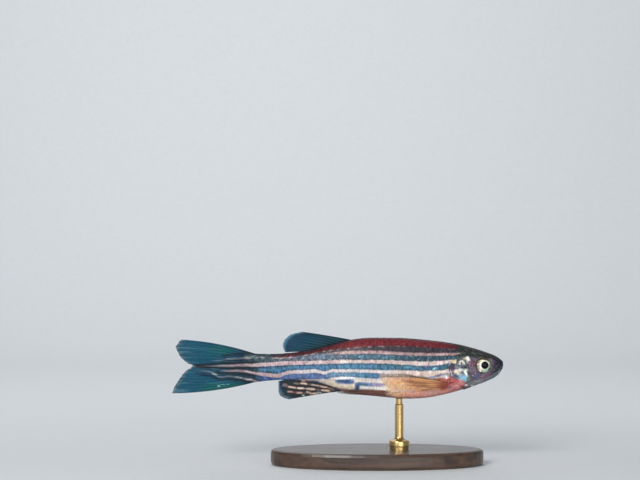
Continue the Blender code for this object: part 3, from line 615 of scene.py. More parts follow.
TAIL_STRANDS = (
    ((30.5, 0.48, 32.5, 0.46, 35, 0.34, 37.0, 0.22, 39.0, 0.06), 0.13, "soot", 0.92),
    ((30.5, -0.22, 32.5, -0.22, 35, -0.25, 37.5, -0.2, 39.2, -0.12), 0.13, "soot", 0.95),
    ((31.4, -1.35, 32.8, -1.05, 34.3, -0.95, 35.8, -0.92, 36.3, -0.72), 0.17, "night", 0.85),
    ((31.0, -2.1, 33.0, -1.85, 34.7, -1.66, 36.2, -1.72, 37.0, -1.3, 38.2, -1.05), 0.14, "night", 0.8),
    ((36.8, -1.25, 37.8, -1.2, 39.0, -1.0), 0.12, "navy", 0.7),
    ((30.5, 1.55, 32.4, 1.62, 33.2, 1.55, 34.4, 1.45, 35.6, 1.3), 0.15, "soot", 0.7),
    ((33.2, 1.5, 34.3, 1.45), 0.16, "navy", 0.6), ((31.0, 0.8, 33.5, 0.74, 35.5, 0.6), 0.1, "night", 0.6),
    ((36.2, -0.42, 37.0, -0.34), 0.05, "ash", 0.45), ((33.9, 1.02, 35.1, 0.93), 0.04, "lilac", 0.5),
    ((31.2, -1.0, 32.4, -0.72), 0.1, "cream_rear", 0.5), ((36.9, -0.08, 38.6, -0.1), 0.05, "plum", 0.6),
    ((31.3, 1.25, 31.9, 1.2), 0.09, "moss", 0.8), ((31.9, -1.72, 32.5, -1.68), 0.1, "cream_rear", 0.6),
    ((33.2, -1.5, 33.9, -1.4), 0.08, "silver", 0.7), ((36.4, -1.14, 36.9, -0.93), 0.1, "silver", 0.85),
    ((36.0, -2.54, 36.16, -2.54), 0.09, "glint", 0.9), ((35.3, -2.4, 35.8, -2.32), 0.06, "glint", 0.4),
    ((34.8, -2.32, 35.0, -2.34), 0.06, "glint", 0.4), ((35.1, -2.95, 35.7, -3.0), 0.05, "glint", 0.25),
)
TAIL_LINES = (("cream_rear", UPPER_LINE, 0.9), ("cream_rear", MIDDLE_LINE, 0.9), ("ash", LOWER_LINE, 0.85),
              ("ash", TOP_TAIL_LINE, 0.85))


def tail_paint(d, z):
    """The tail fin's colours, which run on from the body's."""
    flat = (d, z, 0 * d)
    zw = z + 0.03 * grain(flat, 1.6, 61) + 0.02 * grain(flat, 5, 64)
    col = coats(
        ramp(d, (31, "stalk"), (33, "lagoon_root"), (36, "lagoon")),
        ("fern", bump(z - 2.0, 0.7) * smooth(33, 35, d) * (1 - smooth(36.5, 38.5, d)) * 0.6),
        ("fern", smooth(-1.9, -2.5, z) * smooth(32, 34, d) * (1 - smooth(36.5, 39.5, d)) * 0.9))
    for name, (_, share), strength in TAIL_LINES:
        light, rim = share(d, zw, 0.14)
        light = light * (0.8 + 0.2 * grain(flat, (2.3, 3, 1), 68))
        col = coats(col, ("night", rim * 0.4), (name, light * strength),
                    ("olive", light * 0.22 * smooth(31.2, 32.5, d) * (1 - smooth(34, 35.5, d))),
                    ("cream", light * 0.4 * smooth(33.2, 32.4, d)))
    for row, wide, name, strength in TAIL_STRANDS:
        col = coats(col, (name, (1 - smooth(wide * 0.4, wide * 1.6, strand_distance(d, zw, row))) * strength))
    return col * (1 + 0.16 * grain(flat, (3, 9, 1), 63))[..., None]


def body_colour(d, z, place):
    """Flank and tail in one, so that nothing changes where the skin ends."""
    to_tail = smooth(30.5, 31.9, d + 0.35 * grain((d, z, 0 * d), 1.5, 62))
    return mix(flank_colour(d, z, place), tail_paint(d, z), to_tail)


def markings(points):
    """The fish's colours at points given in millimetres, as linear RGB."""
    place = tuple(np.moveaxis(points, -1, 0))
    d, z = as_seen(*place)
    shift = 0.06 * grain(place, 4, 6)
    away, side, _ = line_distance(d + shift, z - shift, PAINT_EDGE)
    behind = smooth(-0.07, 0.09, away * side)
    # the red of the back begins in blotches, above the line that parts head and flank
    nape = smooth(5.3, 6.1, d - 0.2 * (2.8 - z) + 0.3 * grain(place, 3, 19) + 0.2 * grain(place, 8, 5))
    behind = np.where(z > 1.2, behind + (nape - behind) * smooth(1.2, 1.6, z), behind)
    behind = np.where(d > 9, 1.0, np.where(d < 3.5, 0.0, behind))
    head, flank = np.zeros((2, *np.shape(d), 3))
    for part, chosen, paint in ((head, behind < 1, head_colour), (flank, behind > 0, body_colour)):
        part[chosen] = paint(d[chosen], z[chosen], tuple(c[chosen] for c in place))
    return mix(head, flank, behind)


# Making meshes

def to_world(points):
    d, y, z = np.moveaxis(points, -1, 0)
    return np.stack([SNOUT_X - d, y, AXIS_Z + z], -1) * MM


def new_mesh(name, points, faces, material, colours=None, **values):
    """A piece from points in millimetres and its faces, with named values on its points."""
    mesh = bpy.data.meshes.new(name)
    mesh.from_pydata(to_world(points.reshape(-1, 3)).tolist(), [], [list(map(int, f)) for f in faces])
    if colours is not None:
        layer = mesh.attributes.new("markings", "FLOAT_COLOR", "POINT")
        rgba = np.ones((len(mesh.vertices), 4), np.float32)
        rgba[:, :3] = colours.reshape(-1, 3)
        layer.data.foreach_set("color", rgba.ravel())
    for key, value in values.items():
        layer = mesh.attributes.new(key, "FLOAT", "POINT")
        layer.data.foreach_set("value", np.asarray(value, np.float32).ravel())
    mesh.materials.append(material)
    mesh.shade_smooth()
    piece = bpy.data.objects.new(name, mesh)
    bpy.context.scene.collection.objects.link(piece)
    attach(piece, "root")
    return piece


def grid_faces(rows, columns, wrap=False, offset=0, flip=False):
    i, j = np.meshgrid(np.arange(rows - 1), np.arange(columns if wrap else columns - 1), indexing="ij")
    k = (j + 1) % columns
    quads = np.stack([i * columns + j, i * columns + k, (i + 1) * columns + k, (i + 1) * columns + j], -1)
    quads = quads.reshape(-1, 4) + offset
    return quads[:, ::-1] if flip else quads


def grid_normals(p, wrap):
    du = np.gradient(p, axis=0)
    dv = (np.roll(p, -1, 1) - np.roll(p, 1, 1)) if wrap else np.gradient(p, axis=1)
    n = np.cross(du, dv)
    return n / np.maximum(np.linalg.norm(n, axis=-1, keepdims=True), 1e-12)


# Materials

def shader(name):
    """A new material's ways to add a node, to add a colour ramp and to feed its surface.

    Each takes inputs as in_NAME, in_NUMBER or, for the surface, by name alone, and an input is a value
    or another node's output. The first two give an output.
    """
    material = bpy.data.materials.new(name)
    material.use_nodes = True
    tree = material.node_tree

    def feed(node, key, value):
        socket = node.inputs[int(key) if key.isdigit() else key.replace("_", " ")]
        if isinstance(value, bpy.types.NodeSocket):
            tree.links.new(value, socket)
        else:
            socket.default_value = value

    def add(kind, out=0, **settings):
        node = tree.nodes.new("ShaderNode" + kind)
        for key, value in settings.items():
            if key.startswith("in_"):
                feed(node, key[3:], value)
            else:
                setattr(node, key, value)
        return node.outputs[out]

    def tones(value, dark, light, low=0.0, high=1.0):
        node = tree.nodes.new("ShaderNodeValToRGB")
        for element, colour, position in zip(node.color_ramp.elements, (dark, light), (low, high)):
            element.color = (*colour, 1)
            element.position = position
        feed(node, "Fac", value)
        return node.outputs["Color"]

    def finish(**inputs):
        for key, value in inputs.items():
            feed(tree.nodes["Principled BSDF"], key, value)
        return material

    return add, tones, finish


def painted(add, level):
    """The markings on the mesh, made lighter and darker by a level."""
    return add("VectorMath", operation="SCALE", in_Scale=level,
               in_0=add("Attribute", "Color", attribute_name="markings"))


def fish_material():
    """Skin and scales: the markings, mottled finely, with a wet gloss and a slight metallic glint."""
    add, _, finish = shader("danio_skin")
    place = add("TexCoord", "Object")
    upright = add("Mapping", in_Vector=place, in_Scale=(1.0, 1.0, 0.45))
    fine = add("TexNoise", in_Vector=upright, in_Scale=5200.0, in_Detail=3.0)
    broad = add("TexNoise", in_Vector=place, in_Scale=1100.0, in_Detail=2.0)
    level = add("MapRange", in_0=fine, in_1=0.3, in_2=0.7, in_3=0.78, in_4=1.22)
    hue = add("MapRange", in_0=broad, in_3=0.485, in_4=0.515)
    return finish(
        Base_Color=add("HueSaturation", in_Hue=hue, in_Saturation=1.0, in_Color=painted(add, level)),
        Roughness=add("MapRange", in_0=broad, in_3=0.3, in_4=0.5),
        Metallic=add("Attribute", "Fac", attribute_name="shine"),
        Normal=add("Bump", in_Height=fine, in_Strength=0.35, in_Distance=0.00001),
        Coat_Weight=0.08, Coat_Roughness=0.22, Specular_IOR_Level=0.18)


def fin_material():
    """Fins: thin skin between jointed rays, partly clear."""
    add, _, finish = shader("danio_fin")
    wave = add("Math", operation="MULTIPLY", in_0=add("Attribute", "Fac", attribute_name="along"), in_1=26.0)
    joint = add("Math", operation="SINE", in_0=wave)
    jointed = add("Math", operation="MULTIPLY", in_0=joint,
                  in_1=add("Attribute", "Fac", attribute_name="ray"))
    level = add("MapRange", in_0=jointed, in_1=-1.0, in_2=1.0, in_3=0.78, in_4=1.2)
    return finish(
        Base_Color=painted(add, level), Alpha=add("Attribute", "Fac", attribute_name="cover"),
        Normal=add("Bump", in_Height=jointed, in_Strength=0.5, in_Distance=0.00003),
        Coat_Weight=0.05, Coat_Roughness=0.25, Roughness=0.5, Specular_IOR_Level=0.18)


def eye_material():
    add, _, finish = shader("danio_eye")
    fine = add("TexNoise", in_Vector=add("TexCoord", "Object"), in_Scale=9000.0, in_Detail=3.0)
    return finish(Base_Color=painted(add, add("MapRange", in_0=fine, in_3=0.85, in_4=1.12)),
                  Coat_Weight=0.08, Coat_Roughness=0.05, Roughness=0.4, Specular_IOR_Level=0.1)


def wood_material():
    add, tones, finish = shader("base_walnut")
    stretch = add("Mapping", in_Vector=add("TexCoord", "Object"), in_Scale=(60.0, 900.0, 900.0))
    growth = add("TexNoise", in_Vector=stretch, in_Scale=1.0, in_Detail=6.0, in_Distortion=0.6)
    pores = add("TexNoise", in_Vector=stretch, in_Scale=6.0, in_Detail=2.0)
    return finish(
        Base_Color=tones(growth, (0.022, 0.011, 0.007), (0.11, 0.055, 0.03), 0.3, 0.75),
        Roughness=add("MapRange", in_0=pores, in_3=0.3, in_4=0.5),
        Normal=add("Bump", in_Height=pores, in_Strength=0.25, in_Distance=0.00002),
        Coat_Weight=0.35, Coat_Roughness=0.18)


def brass_material():
    add, tones, finish = shader("rod_brass")
    stretch = add("Mapping", in_Vector=add("TexCoord", "Object"), in_Scale=(900.0, 900.0, 12000.0))
    turned = add("TexNoise", in_Vector=stretch, in_Scale=1.0, in_Detail=3.0)
    return finish(
        Base_Color=tones(turned, (0.50, 0.34, 0.13), (0.72, 0.52, 0.24)), Metallic=1.0,
        Roughness=add("MapRange", in_0=turned, in_3=0.2, in_4=0.38),
        Normal=add("Bump", in_Height=turned, in_Strength=0.15, in_Distance=0.00001))


def floor_material():
    add, tones, finish = shader("pale_floor")
    speckle = add("TexNoise", in_Vector=add("TexCoord", "Object"), in_Scale=900.0, in_Detail=4.0)
    return finish(Base_Color=tones(speckle, (0.74, 0.76, 0.78), (0.80, 0.82, 0.84)), Roughness=0.75)


SKIN = fish_material()
FIN = fin_material()
EYEBALL = eye_material()


# The skin, in one piece from snout to tail

HEAD_RINGS = 230
BODY_RINGS = 300
SKIN_COLUMNS = 288
HEAD_END = 7.0


def make_skin():
    head = HEAD_END * np.linspace(0, 1, HEAD_RINGS, endpoint=False) ** 1.5
    rings = np.concatenate([np.maximum(head, 0.002), np.linspace(HEAD_END, SKIN_END, BODY_RINGS)])
    shares = (np.arange(SKIN_COLUMNS) + 0.5) / SKIN_COLUMNS
    d, share = np.meshgrid(rings, shares, indexing="ij")
    theta = angle_at(d, share)
    p = skin_point(d, theta, COAT_DEPTH * smooth(0, 1, d))
    _, y, z = np.moveaxis(p, -1, 0)
    normal = grid_normals(p, True)
    normal *= np.sign(np.sum(normal * np.stack([0 * d, np.sin(theta), np.cos(theta)], -1), -1).mean())
    # painted shade: the mouth slit is painted dark along its groove
    away, _, along = line_distance(d, z, MOUTH)
    slit = bump(away, 0.04) * (1 - smooth(1.2, 1.5, along)) * (d < 3)
    colours = coats(markings(p), ((20, 14, 18), slit * 0.6))
    # painted shade: the nostrils are painted dark inside their pits
    for nd, nz, nr in NOSTRILS:
        r = np.hypot(d - nd, (z - nz) * NOSTRIL_SQUASH)
        colours = coats(colours, ((14, 12, 16), (1 - smooth(nr * 0.6, nr, r)) * 0.9))
    r = np.hypot(d - EYE[0], z - EYE[1])
    colours = coats(colours, ((28, 22, 26), (1 - smooth(EYE_RADIUS, EYE_RADIUS + 0.14, r)) * 0.55))
    # the folds grow shallow towards the snout's tip, where the skin is closely curved
    front = 1 - smooth(0.0, 0.25, d)
    p = p + normal * (relief(d, y, z) * (1 - 0.5 * front))[..., None]
    faces = list(grid_faces(len(rings), SKIN_COLUMNS, wrap=True))
    count = len(rings) * SKIN_COLUMNS
    faces += [list(range(SKIN_COLUMNS)), list(range(count - 1, count - 1 - SKIN_COLUMNS, -1))]
    piece = new_mesh("danio_skin", p, faces, SKIN, colours,
                     shine=0.15 + 0.1 * noise(d * 3, p[..., 2] * 3, p[..., 1], 41))
    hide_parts("head", "lower_jaw", "gill_cover_left", "gill_cover_right", "trunk", "tail_stalk")


# Scales: overlapping plates in rows along the flank, in millimetres. The patch is a plate's share of the
# OFBake map.

SCALE_PITCH = 0.93
SCALE_ROW = 0.62
SCALE_LONG = 17
SCALE_WIDE = 13
SCALE_LIFT = 0.028
SCALE_THICK = 0.02
SCALE_PATCH = 0.003
SCALE_SEEDS = {"scales_left_front": 17, "scales_left_rear": 16,
               "scales_right_front": 18, "scales_right_rear": 17}


def size_at(d):
    return np.interp(d, (5, 12, 20, 27, 33), (0.92, 1.0, 0.95, 0.74, 0.5))


def scale_places():
    """(behind, millimetres above the widest line, size) of each scale of one side."""
    found = []
    for row in range(-10, 11):
        for k in range(36):
            d = 4.6 + (k + 0.5 * (row % 2)) * SCALE_PITCH
            found.append((d, row * SCALE_ROW * size_at(d), size_at(d)))
    d, up, size = np.array(found).T
    i = np.interp(d, STATIONS, np.arange(len(STATIONS))).astype(int)
    top = MIDDLES[i] * LENGTHS[i]
    p = skin_point(d, angle_at(d, MIDDLES[i] - up / LENGTHS[i]))
    sd, sz = as_seen(p[:, 0], p[:, 1], p[:, 2])
    away, side, _ = line_distance(sd, sz, GILL_CURVE)
    clear = (away * side > 0.12) | (sd > 7.5) | ((sz > 1.15) & (sd > 5.8))
    keep = clear & (up < top + 0.2) & (up > top - LENGTHS[i] / 2 - 0.2) & (d > 5.0) & (d < 32.0)
    return d[keep], up[keep], size[keep], i[keep]


def make_scales():
    d0, up, size, i = scale_places()
    order = np.argsort(d0)
    d0, up, size, i = d0[order], up[order], size[order], i[order]
    for name, sign in SIDES:
        half = len(d0) // 2
        for part, chosen in (("front", slice(0, half)), ("rear", slice(half, None))):
            make_scale_piece(f"scales_{name}_{part}", sign, d0[chosen], up[chosen], size[chosen], i[chosen])


def make_scale_piece(name, sign, d0, up, size, i):
    count = len(d0)
    jitter = np.random.default_rng(SCALE_SEEDS[name]).normal(0, 1, (count, 4, 1, 1))
    uu, vv = np.meshgrid(np.linspace(0, 1, SCALE_LONG), np.linspace(-1, 1, SCALE_WIDE), indexing="ij")
    # round behind, squarer in front
    width = np.sqrt(np.clip(1 - (np.abs(uu - 0.42) / 0.6) ** 2.6, 0, 1))
    size3 = size[:, None, None]
    length = SCALE_PITCH * 1.75 * (0.75 + 0.25 * size3) * (1 + 0.03 * jitter[:, 0])
    wide = SCALE_ROW * size3 * 1.08 * (1 + 0.03 * jitter[:, 1])
    d = np.clip(d0[:, None, None] + (uu - 0.45) * length, 0.5, 33.1)
    a = up[:, None, None] + vv * width * wide
    theta = angle_at(d, np.interp(d, STATIONS, MIDDLES) - a / np.interp(d, STATIONS, LENGTHS))
    p = skin_point(d, theta, COAT_DEPTH)
    step = 0.01
    n = np.cross(skin_point(d, theta + step, COAT_DEPTH) - p, skin_point(d + step, theta, COAT_DEPTH) - p)
    n /= np.maximum(np.linalg.norm(n, axis=-1, keepdims=True), 1e-12)
    n *= np.sign(np.sin(theta) * n[..., 1] + np.cos(theta) * n[..., 2])[..., None]
    # a crowned plate that rises to its free rim, with growth rings
    lift = SCALE_LIFT * (0.6 + 0.4 * size3)
    rings = 0.0025 * np.sin(np.hypot((uu - 0.3) * 26, vv * 10))
    height = lift * (0.1 + 0.9 * uu ** 1.2) + 0.012 * (1 - vv ** 2) - 0.015 + 0.004 * jitter[:, 2] + rings
    height = height + relief(*np.moveaxis(p, -1, 0)) * smooth(6.6, 7.2, d)
    mirror = np.array((1, sign, 1))
    colours = markings(p * mirror)
    # each plate is lighter in its middle, a painted sheen, and darker along its free rim, its own dark edge,
    # with fine ribs
    rim = smooth(0.74, 0.97, uu) + 0.4 * smooth(0.78, 1.0, np.abs(vv))
    middle = bump(np.hypot((uu - 0.7) / 0.2, vv * 1.1), 1.0)
    ribs = np.sin(vv * 22 + uu * 2) * smooth(0.3, 0.7, uu)
    dark = 1 - 0.92 * smooth(0.1, 0.4, colours.mean(-1))
    gain = 1 + dark * (0.16 * middle - 0.28 * np.clip(rim, 0, 1) + 0.05 * ribs) + 0.07 * jitter[:, 3]
    colours = np.clip(colours * gain[..., None], 0, 1)
    shine = np.clip(0.12 + 0.16 * middle + 0.04 * jitter[:, 2], 0, 1)
    # each plate's points are its upper side and then the rim of its under side
    per = SCALE_LONG * SCALE_WIDE
    ring = np.array(rim_ring(SCALE_LONG, SCALE_WIDE))
    edge = len(ring)

    def plates(upper, under):
        shape = (count, per, *upper.shape[3:])
        return np.concatenate([upper.reshape(shape), under.reshape(shape)[:, ring]], 1)

    points = plates(p + n * height[..., None], p + n * (height - SCALE_THICK)[..., None]) * mirror
    after = np.roll(np.arange(edge), -1)
    skirt = np.stack([ring[after], ring, per + np.arange(edge), per + after], -1)
    quads = np.concatenate([grid_faces(SCALE_LONG, SCALE_WIDE), skirt])[:, ::sign]
    closing = (per + np.arange(edge))[::-sign]
    stride = per + edge
    faces = []
    for k in range(count):
        faces += [*(quads + k * stride).tolist(), (closing + k * stride).tolist()]
    piece = new_mesh(name, points, faces, SKIN, plates(colours, colours), shine=plates(shine, shine))
    # each plate's patch of the map lies by its place on the body
    local = np.stack([uu.ravel() - 0.5, vv.ravel() / 2], -1) * SCALE_PATCH
    local = np.concatenate([local, local[ring]])
    root = np.stack([d0 / 34, 0.5 + sign * (0.01 + 0.96 * (MIDDLES[i] - up / LENGTHS[i]))], -1)
    unwrapped = (root[:, None] + local[None]).reshape(-1, 2)
    layer = piece.data.uv_layers.new(name="OFBake")
    corners = np.empty(len(piece.data.loops), np.int32)
    piece.data.loops.foreach_get("vertex_index", corners)
    layer.data.foreach_set("uv", unwrapped[corners].astype(np.float32).ravel())


def rim_ring(rows, columns):
    """The indices round the edge of a grid, in order."""
    ring = list(range(columns)) + [(i + 1) * columns - 1 for i in range(1, rows)]
    ring += [(rows - 1) * columns + j for j in range(columns - 2, -1, -1)]
    return ring + [i * columns for i in range(rows - 2, 0, -1)]


# Eyes

EYE_RINGS = 72
EYE_SPOKES = 128


def make_eyes():
    for name, sign in SIDES:
        low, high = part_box(f"eye_{name}")
        centre = centre_of(low, high)
        radius = (high[0] - low[0]) / 2 / MM
        depth = (high[1] - low[1]) / 2 / MM
        fall = np.linspace(0.004, math.pi / 2 + 0.35, EYE_RINGS)[:, None]
        turn = np.arange(EYE_SPOKES) / EYE_SPOKES * math.tau
        d = SNOUT_X - centre[0] + radius * np.sin(fall) * np.cos(turn)
        y = centre[1] + sign * depth * np.cos(fall) + 0 * d
        z = centre[2] - AXIS_Z + radius * np.sin(fall) * np.sin(turn)
        sd, sz = as_seen(d, y, z)
        # the lens bulges a little through the pupil
        y = y + sign * 0.02 * (1 - smooth(0.3, 0.46, np.hypot(sd - PUPIL[0], sz - PUPIL[1])))
        faces = list(grid_faces(EYE_RINGS, EYE_SPOKES, wrap=True)[:, ::sign])
        faces += [list(range(EYE_SPOKES))[::-sign],
                  list(range((EYE_RINGS - 1) * EYE_SPOKES, EYE_RINGS * EYE_SPOKES))[::sign]]
        piece = new_mesh(f"danio_eye_{name}", np.stack([d, y, z], -1), faces, EYEBALL, iris_colour(sd, sz))
        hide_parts(f"eye_{name}")


# The eye, as seen: middle of the pupil, middle of the iris, and marks as on head and flank

PUPIL = (2.32, 0.11)
IRIS = (2.54, 0.07)
IRIS_MARKS = (
    (3.1, -0.05, 0.26, 0.5, 0, (112, 116, 100), 0.8), (2.0, -0.5, 0.32, 0.3, 0, (104, 136, 120), 0.85),
    (2.3, -0.6, 0.4, 0.15, 0, (186, 214, 186), 0.85), (2.86, -0.3, 0.24, 0.34, 20, (206, 200, 180), 0.8),
    (2.87, -0.65, 0.13, 0.13, 0, (255, 250, 236), 1.0), (2.76, -0.44, 0.12, 0.08, 0, (240, 206, 200), 0.8),
    (3.17, -0.15, 0.14, 0.16, 0, (150, 160, 140), 0.8), (3.22, 0.26, 0.2, 0.11, 15, (236, 204, 188), 0.95),
    (2.72, 0.56, 0.26, 0.2, -25, (246, 236, 190), 1.0), (2.87, 0.06, 0.13, 0.34, 0, (250, 246, 226), 1.0),
    (2.98, 0.52, 0.24, 0.045, -30, (92, 66, 44), 0.8), (2.2, 0.72, 0.36, 0.1, -4, (206, 192, 120), 0.9),
    (1.84, 0.54, 0.16, 0.22, 24, (220, 224, 184), 0.95), (1.85, 0.05, 0.05, 0.34, 4, (196, 204, 176), 0.7),
    (1.98, -0.24, 0.07, 0.2, 25, (212, 222, 196), 0.7), (2.5, 0.86, 0.5, 0.06, 0, (84, 70, 40), 0.8),
)


def iris_colour(d, z):
    """A broken cream ring close round a black pupil, mottled outside it, with an uneven dark edge."""
    flat = (d, z, 0 * d)
    pupil = np.hypot(d - PUPIL[0], z - PUPIL[1])
    r = np.hypot(d - IRIS[0], z - IRIS[1]) + 0.11 * grain(flat, 3, 51)
    wob = 0.06 * grain(flat, 5, 54) + 0.03 * grain(flat, 14, 55)
    col = marked(plain((150, 146, 126), np.shape(d)), IRIS_MARKS, d + wob, z + wob, 0.5)
    ring = bump(pupil - 0.56, 0.07) * (0.2 + 0.7 * smooth(-0.2, 0.15, d - PUPIL[0] + 0.4 * (z - PUPIL[1])))
    col = coats(col, ((250, 246, 232), ring))
    mottle = grain(flat, 7, 52) + 0.8 * grain(flat, 16, 53)
    col = col * (1 + 0.24 * mottle * smooth(0.5, 0.6, pupil))[..., None]
    lid = smooth(0.25, 0.7, z - 0.3 * np.abs(d - 2.4))
    return np.clip(coats(col, ((44, 34, 30), smooth(0.72, 0.86, r) * lid * 0.9),
                         ((46, 38, 40), smooth(0.85, 0.95, r)),
                         ((2, 3, 5), 1 - smooth(0.44, 0.5, pupil))), 0, 1)


# Fins. How far their roots are sunk into the body, and their colours and covers by the place p, the way
# out t, the way along the root u, and how much of a ray there is

FIN_SINK = 0.3


def through(points):
    return spline(np.linspace(0, 1, len(points)), points)


def forks(t, f):
    """How far each point stands up into a ray, 0 to 1. Rays fork twice on their way out."""
    first = smooth(0.35, 0.7, t) * 0.21
    second = smooth(0.62, 0.95, t) * 0.1
    wide = 0.13 - 0.05 * smooth(0.3, 0.6, t) - 0.025 * smooth(0.6, 0.9, t)
    return np.max([bump(f - a * first - b * second, wide) for a in (-1, 1) for b in (-1, 1)], axis=0)


def make_fin(name, nodes, root, tip, rays, per_ray, rows, colour, cover, bow=None, bend=None,
             thick=0.2, seed=0):
    """A fan of forked, jointed rays under thin skin, from the root curve to the margin curve."""
    rng = np.random.default_rng(seed)
    u = np.linspace(0, 1, rays * per_ray + 1)
    start, end = root(u), tip(u)
    way = end - start
    length = np.linalg.norm(way, axis=1, keepdims=True)
    way = way / length
    start = start - way * FIN_SINK
    place = u * rays
    f = place - np.clip(place.astype(int), 0, rays - 1) - 0.5
    uneven = np.interp(place - 0.5, np.arange(rays), rng.normal(0, 0.008, rays))
    notch = 0.05 * (2 * np.abs(f)) ** 3 + 0.012 * np.cos(f * 40)
    inner = smooth(0.0, 0.06, u) * smooth(1.0, 0.94, u)
    end = end + way * ((uneven * length[:, 0] * 0.6 - notch) * inner)[:, None]
    bent = np.stack([-way[:, 2], 0 * u, way[:, 0]], -1) * (bow(u) if bow else 0 * u)[:, None]
    t, u = np.meshgrid(np.linspace(0, 1, rows), u, indexing="ij")
    tt = t[..., None]
    p = start + (end - start) * tt + bent * 4 * tt * (1 - tt)
    if bend:
        p[..., 1] += bend(t, p[..., 2])
    ridge = forks(t, np.broadcast_to(f, t.shape))
    taper = 1 - 0.72 * t ** 1.3
    thickness = thick * taper * (0.3 + 0.7 * ridge)
    ripple = 0.02 * np.sin(t * 9 + place * 2.1) * (1 - ridge) * taper
    normal = grid_normals(p, False)
    points = [p + normal * (ripple + half * thickness / 2)[..., None] for half in (1, -1)]
    count = t.size
    faces = [*grid_faces(*t.shape), *grid_faces(*t.shape, offset=count, flip=True)]
    ring = rim_ring(*t.shape)
    faces += [(b, a, a + count, b + count) for a, b in zip(ring, ring[1:] + ring[:1])]
    values = {"ray": ridge, "cover": cover(t, u, ridge), "along": t * length[:, 0]}
    piece = new_mesh(name, np.stack(points), faces, FIN, np.stack([colour(p, t, u, ridge)] * 2),
                     **{key: np.stack([value] * 2) for key, value in values.items()})
    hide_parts(*nodes)


def tail_bend(t, z):
    return t * t * (0.5 + 0.5 * z / 3.3)


def tail_bow(u):
    return 0.35 * np.maximum(1 - 2 * u, 0) - 0.35 * np.maximum(2 * u - 1, 0)


def tail_colour(p, t, u, ridge):
    place = tuple(np.moveaxis(p, -1, 0))
    d, z = as_seen(*place)
    streak = noise(u * 34, t * 2, 0 * t, 69)
    edge = smooth(0.1, 0.0, u) + smooth(0.92, 1.0, u)
    col = coats(body_colour(d, z, place), ("night", ridge * 0.35 * smooth(33, 36, d)),
                ("glint", smooth(0.2, 0.8, streak) * 0.16 * smooth(34, 37, d)),
                ("night", edge * 0.35 * (1 - smooth(0.3, 0.9, t))))
    return np.clip(col, 0, 1)


def tail_cover(t, u, ridge):
    margin = smooth(0.93, 1.0, t + 0.02 * np.sin(u * 90))
    return np.clip(1.0 - 0.05 * smooth(0.3, 0.9, t) - 0.4 * margin + 0.1 * ridge, 0, 1)


def clear_cover(t, u, ridge):
    return np.clip(1.0 - 0.06 * smooth(0.3, 0.9, t) - 0.35 * smooth(0.88, 1.0, t) + 0.1 * ridge, 0, 1)


def glassy_cover(t, u, ridge):
    edge = smooth(0.1, 0.02, u)
    streak = smooth(0.0, 0.5, np.abs(noise(u * 17, t * 4.5, 0 * t, 71)))
    base = 0.62 + 0.2 * streak - 0.56 * smooth(0.1, 0.75, t) - 0.2 * streak * smooth(0.5, 0.9, t)
    return np.clip(base + (0.3 * ridge + 0.3 * edge) * (1 - t), 0, 1)


def dorsal_colour(p, t, u, ridge):
    return coats(
        plain((2, 64, 90), t.shape), ((14, 50, 56), (1 - smooth(0.1, 0.8, t)) * 0.8),
        ((14, 46, 56), smooth(0.35, 0.0, u) * 0.7), ((18, 50, 72), bump(t - 0.84, 0.12) * 0.5),
        # near-black at the root: partly the fin's own dark base and partly painted shade where it meets the
        # back
        ((16, 24, 28), (1 - smooth(0.04, 0.16, t)) * 0.7), ((22, 36, 44), smooth(0.86, 1.0, u) * 0.5),
        ((18, 36, 50), ridge * 0.4), ((56, 120, 146), smooth(0.88, 0.97, t) * 0.8))


# The anal fin's dashes, as seen: line, half width, colour, strength. Light ones have dark rims.

ANAL_DASHES = (
    ((26.6, -2.2, 24.9, -2.27, 23.5, -2.5, 22.0, -2.85), 0.07, "faint", 0.8),
    ((28.0, -2.5, 26.7, -2.74, 24.4, -2.92, 21.8, -3.2), 0.08, "faint", 0.8),
    ((27.3, -3.26, 25.6, -3.4, 23.5, -3.48, 21.6, -3.45), 0.07, "faint", 0.8),
    ((26.3, -1.72, 23.1, -1.62), 0.04, "brown", 0.7), ((25.6, -1.86, 23.4, -1.88), 0.075, "grey", 0.7),
    ((25.5, -1.86, 25.15, -1.84), 0.11, "dash", 0.8), ((26.4, -2.2, 25.6, -2.2), 0.088, "grey", 0.5),
    ((25.6, -2.18, 25.0, -2.25), 0.12, "bone", 0.75), ((24.3, -2.33, 23.45, -2.48), 0.1, "cream", 0.8),
    ((23.2, -2.55, 22.3, -2.74), 0.11, "rose", 0.75), ((22.2, -2.84, 21.5, -2.95), 0.1, "grey", 0.6),
    ((27.85, -2.36, 27.45, -2.5), 0.15, "ash", 0.8), ((27.2, -2.64, 26.35, -2.76), 0.12, "dash", 0.95),
    ((26.05, -2.8, 25.35, -2.8), 0.12, "bone", 0.9), ((24.9, -2.88, 24.0, -2.93), 0.14, "dash", 0.9),
    ((25.2, -2.86, 24.95, -2.86), 0.075, "steel", 0.4), ((22.95, -3.06, 22.1, -3.14), 0.12, "dash", 0.9),
    ((23.6, -2.85, 22.3, -2.9), 0.06, "umber", 0.8), ((26.4, -3.02, 25.3, -3.08), 0.07, "umber", 0.7),
    ((27.3, -3.25, 26.85, -3.26), 0.12, "cream_rear", 0.8),
    ((26.1, -3.36, 25.6, -3.42), 0.12, "rose", 0.75), ((24.9, -3.28, 24.55, -3.33), 0.1, "dash", 0.8),
    ((24.5, -3.48, 23.6, -3.5), 0.11, "dash", 0.7), ((23.55, -3.34, 23.15, -3.36), 0.1, "glint", 0.5),
    ((22.05, -3.36, 21.5, -3.5), 0.11, "pale", 0.4), ((25.48, -3.71, 25.28, -3.71), 0.1, "glint", 0.8),
    ((23.1, -3.7, 22.7, -3.7), 0.12, "ash", 0.5), ((28.1, -3.65, 27.5, -3.7), 0.16, "soot", 0.7),
    ((28.3, -2.8, 27.9, -2.9), 0.16, "navy", 0.5),
)
DARK_DASHES = ("umber", "soot", "navy", "brown")


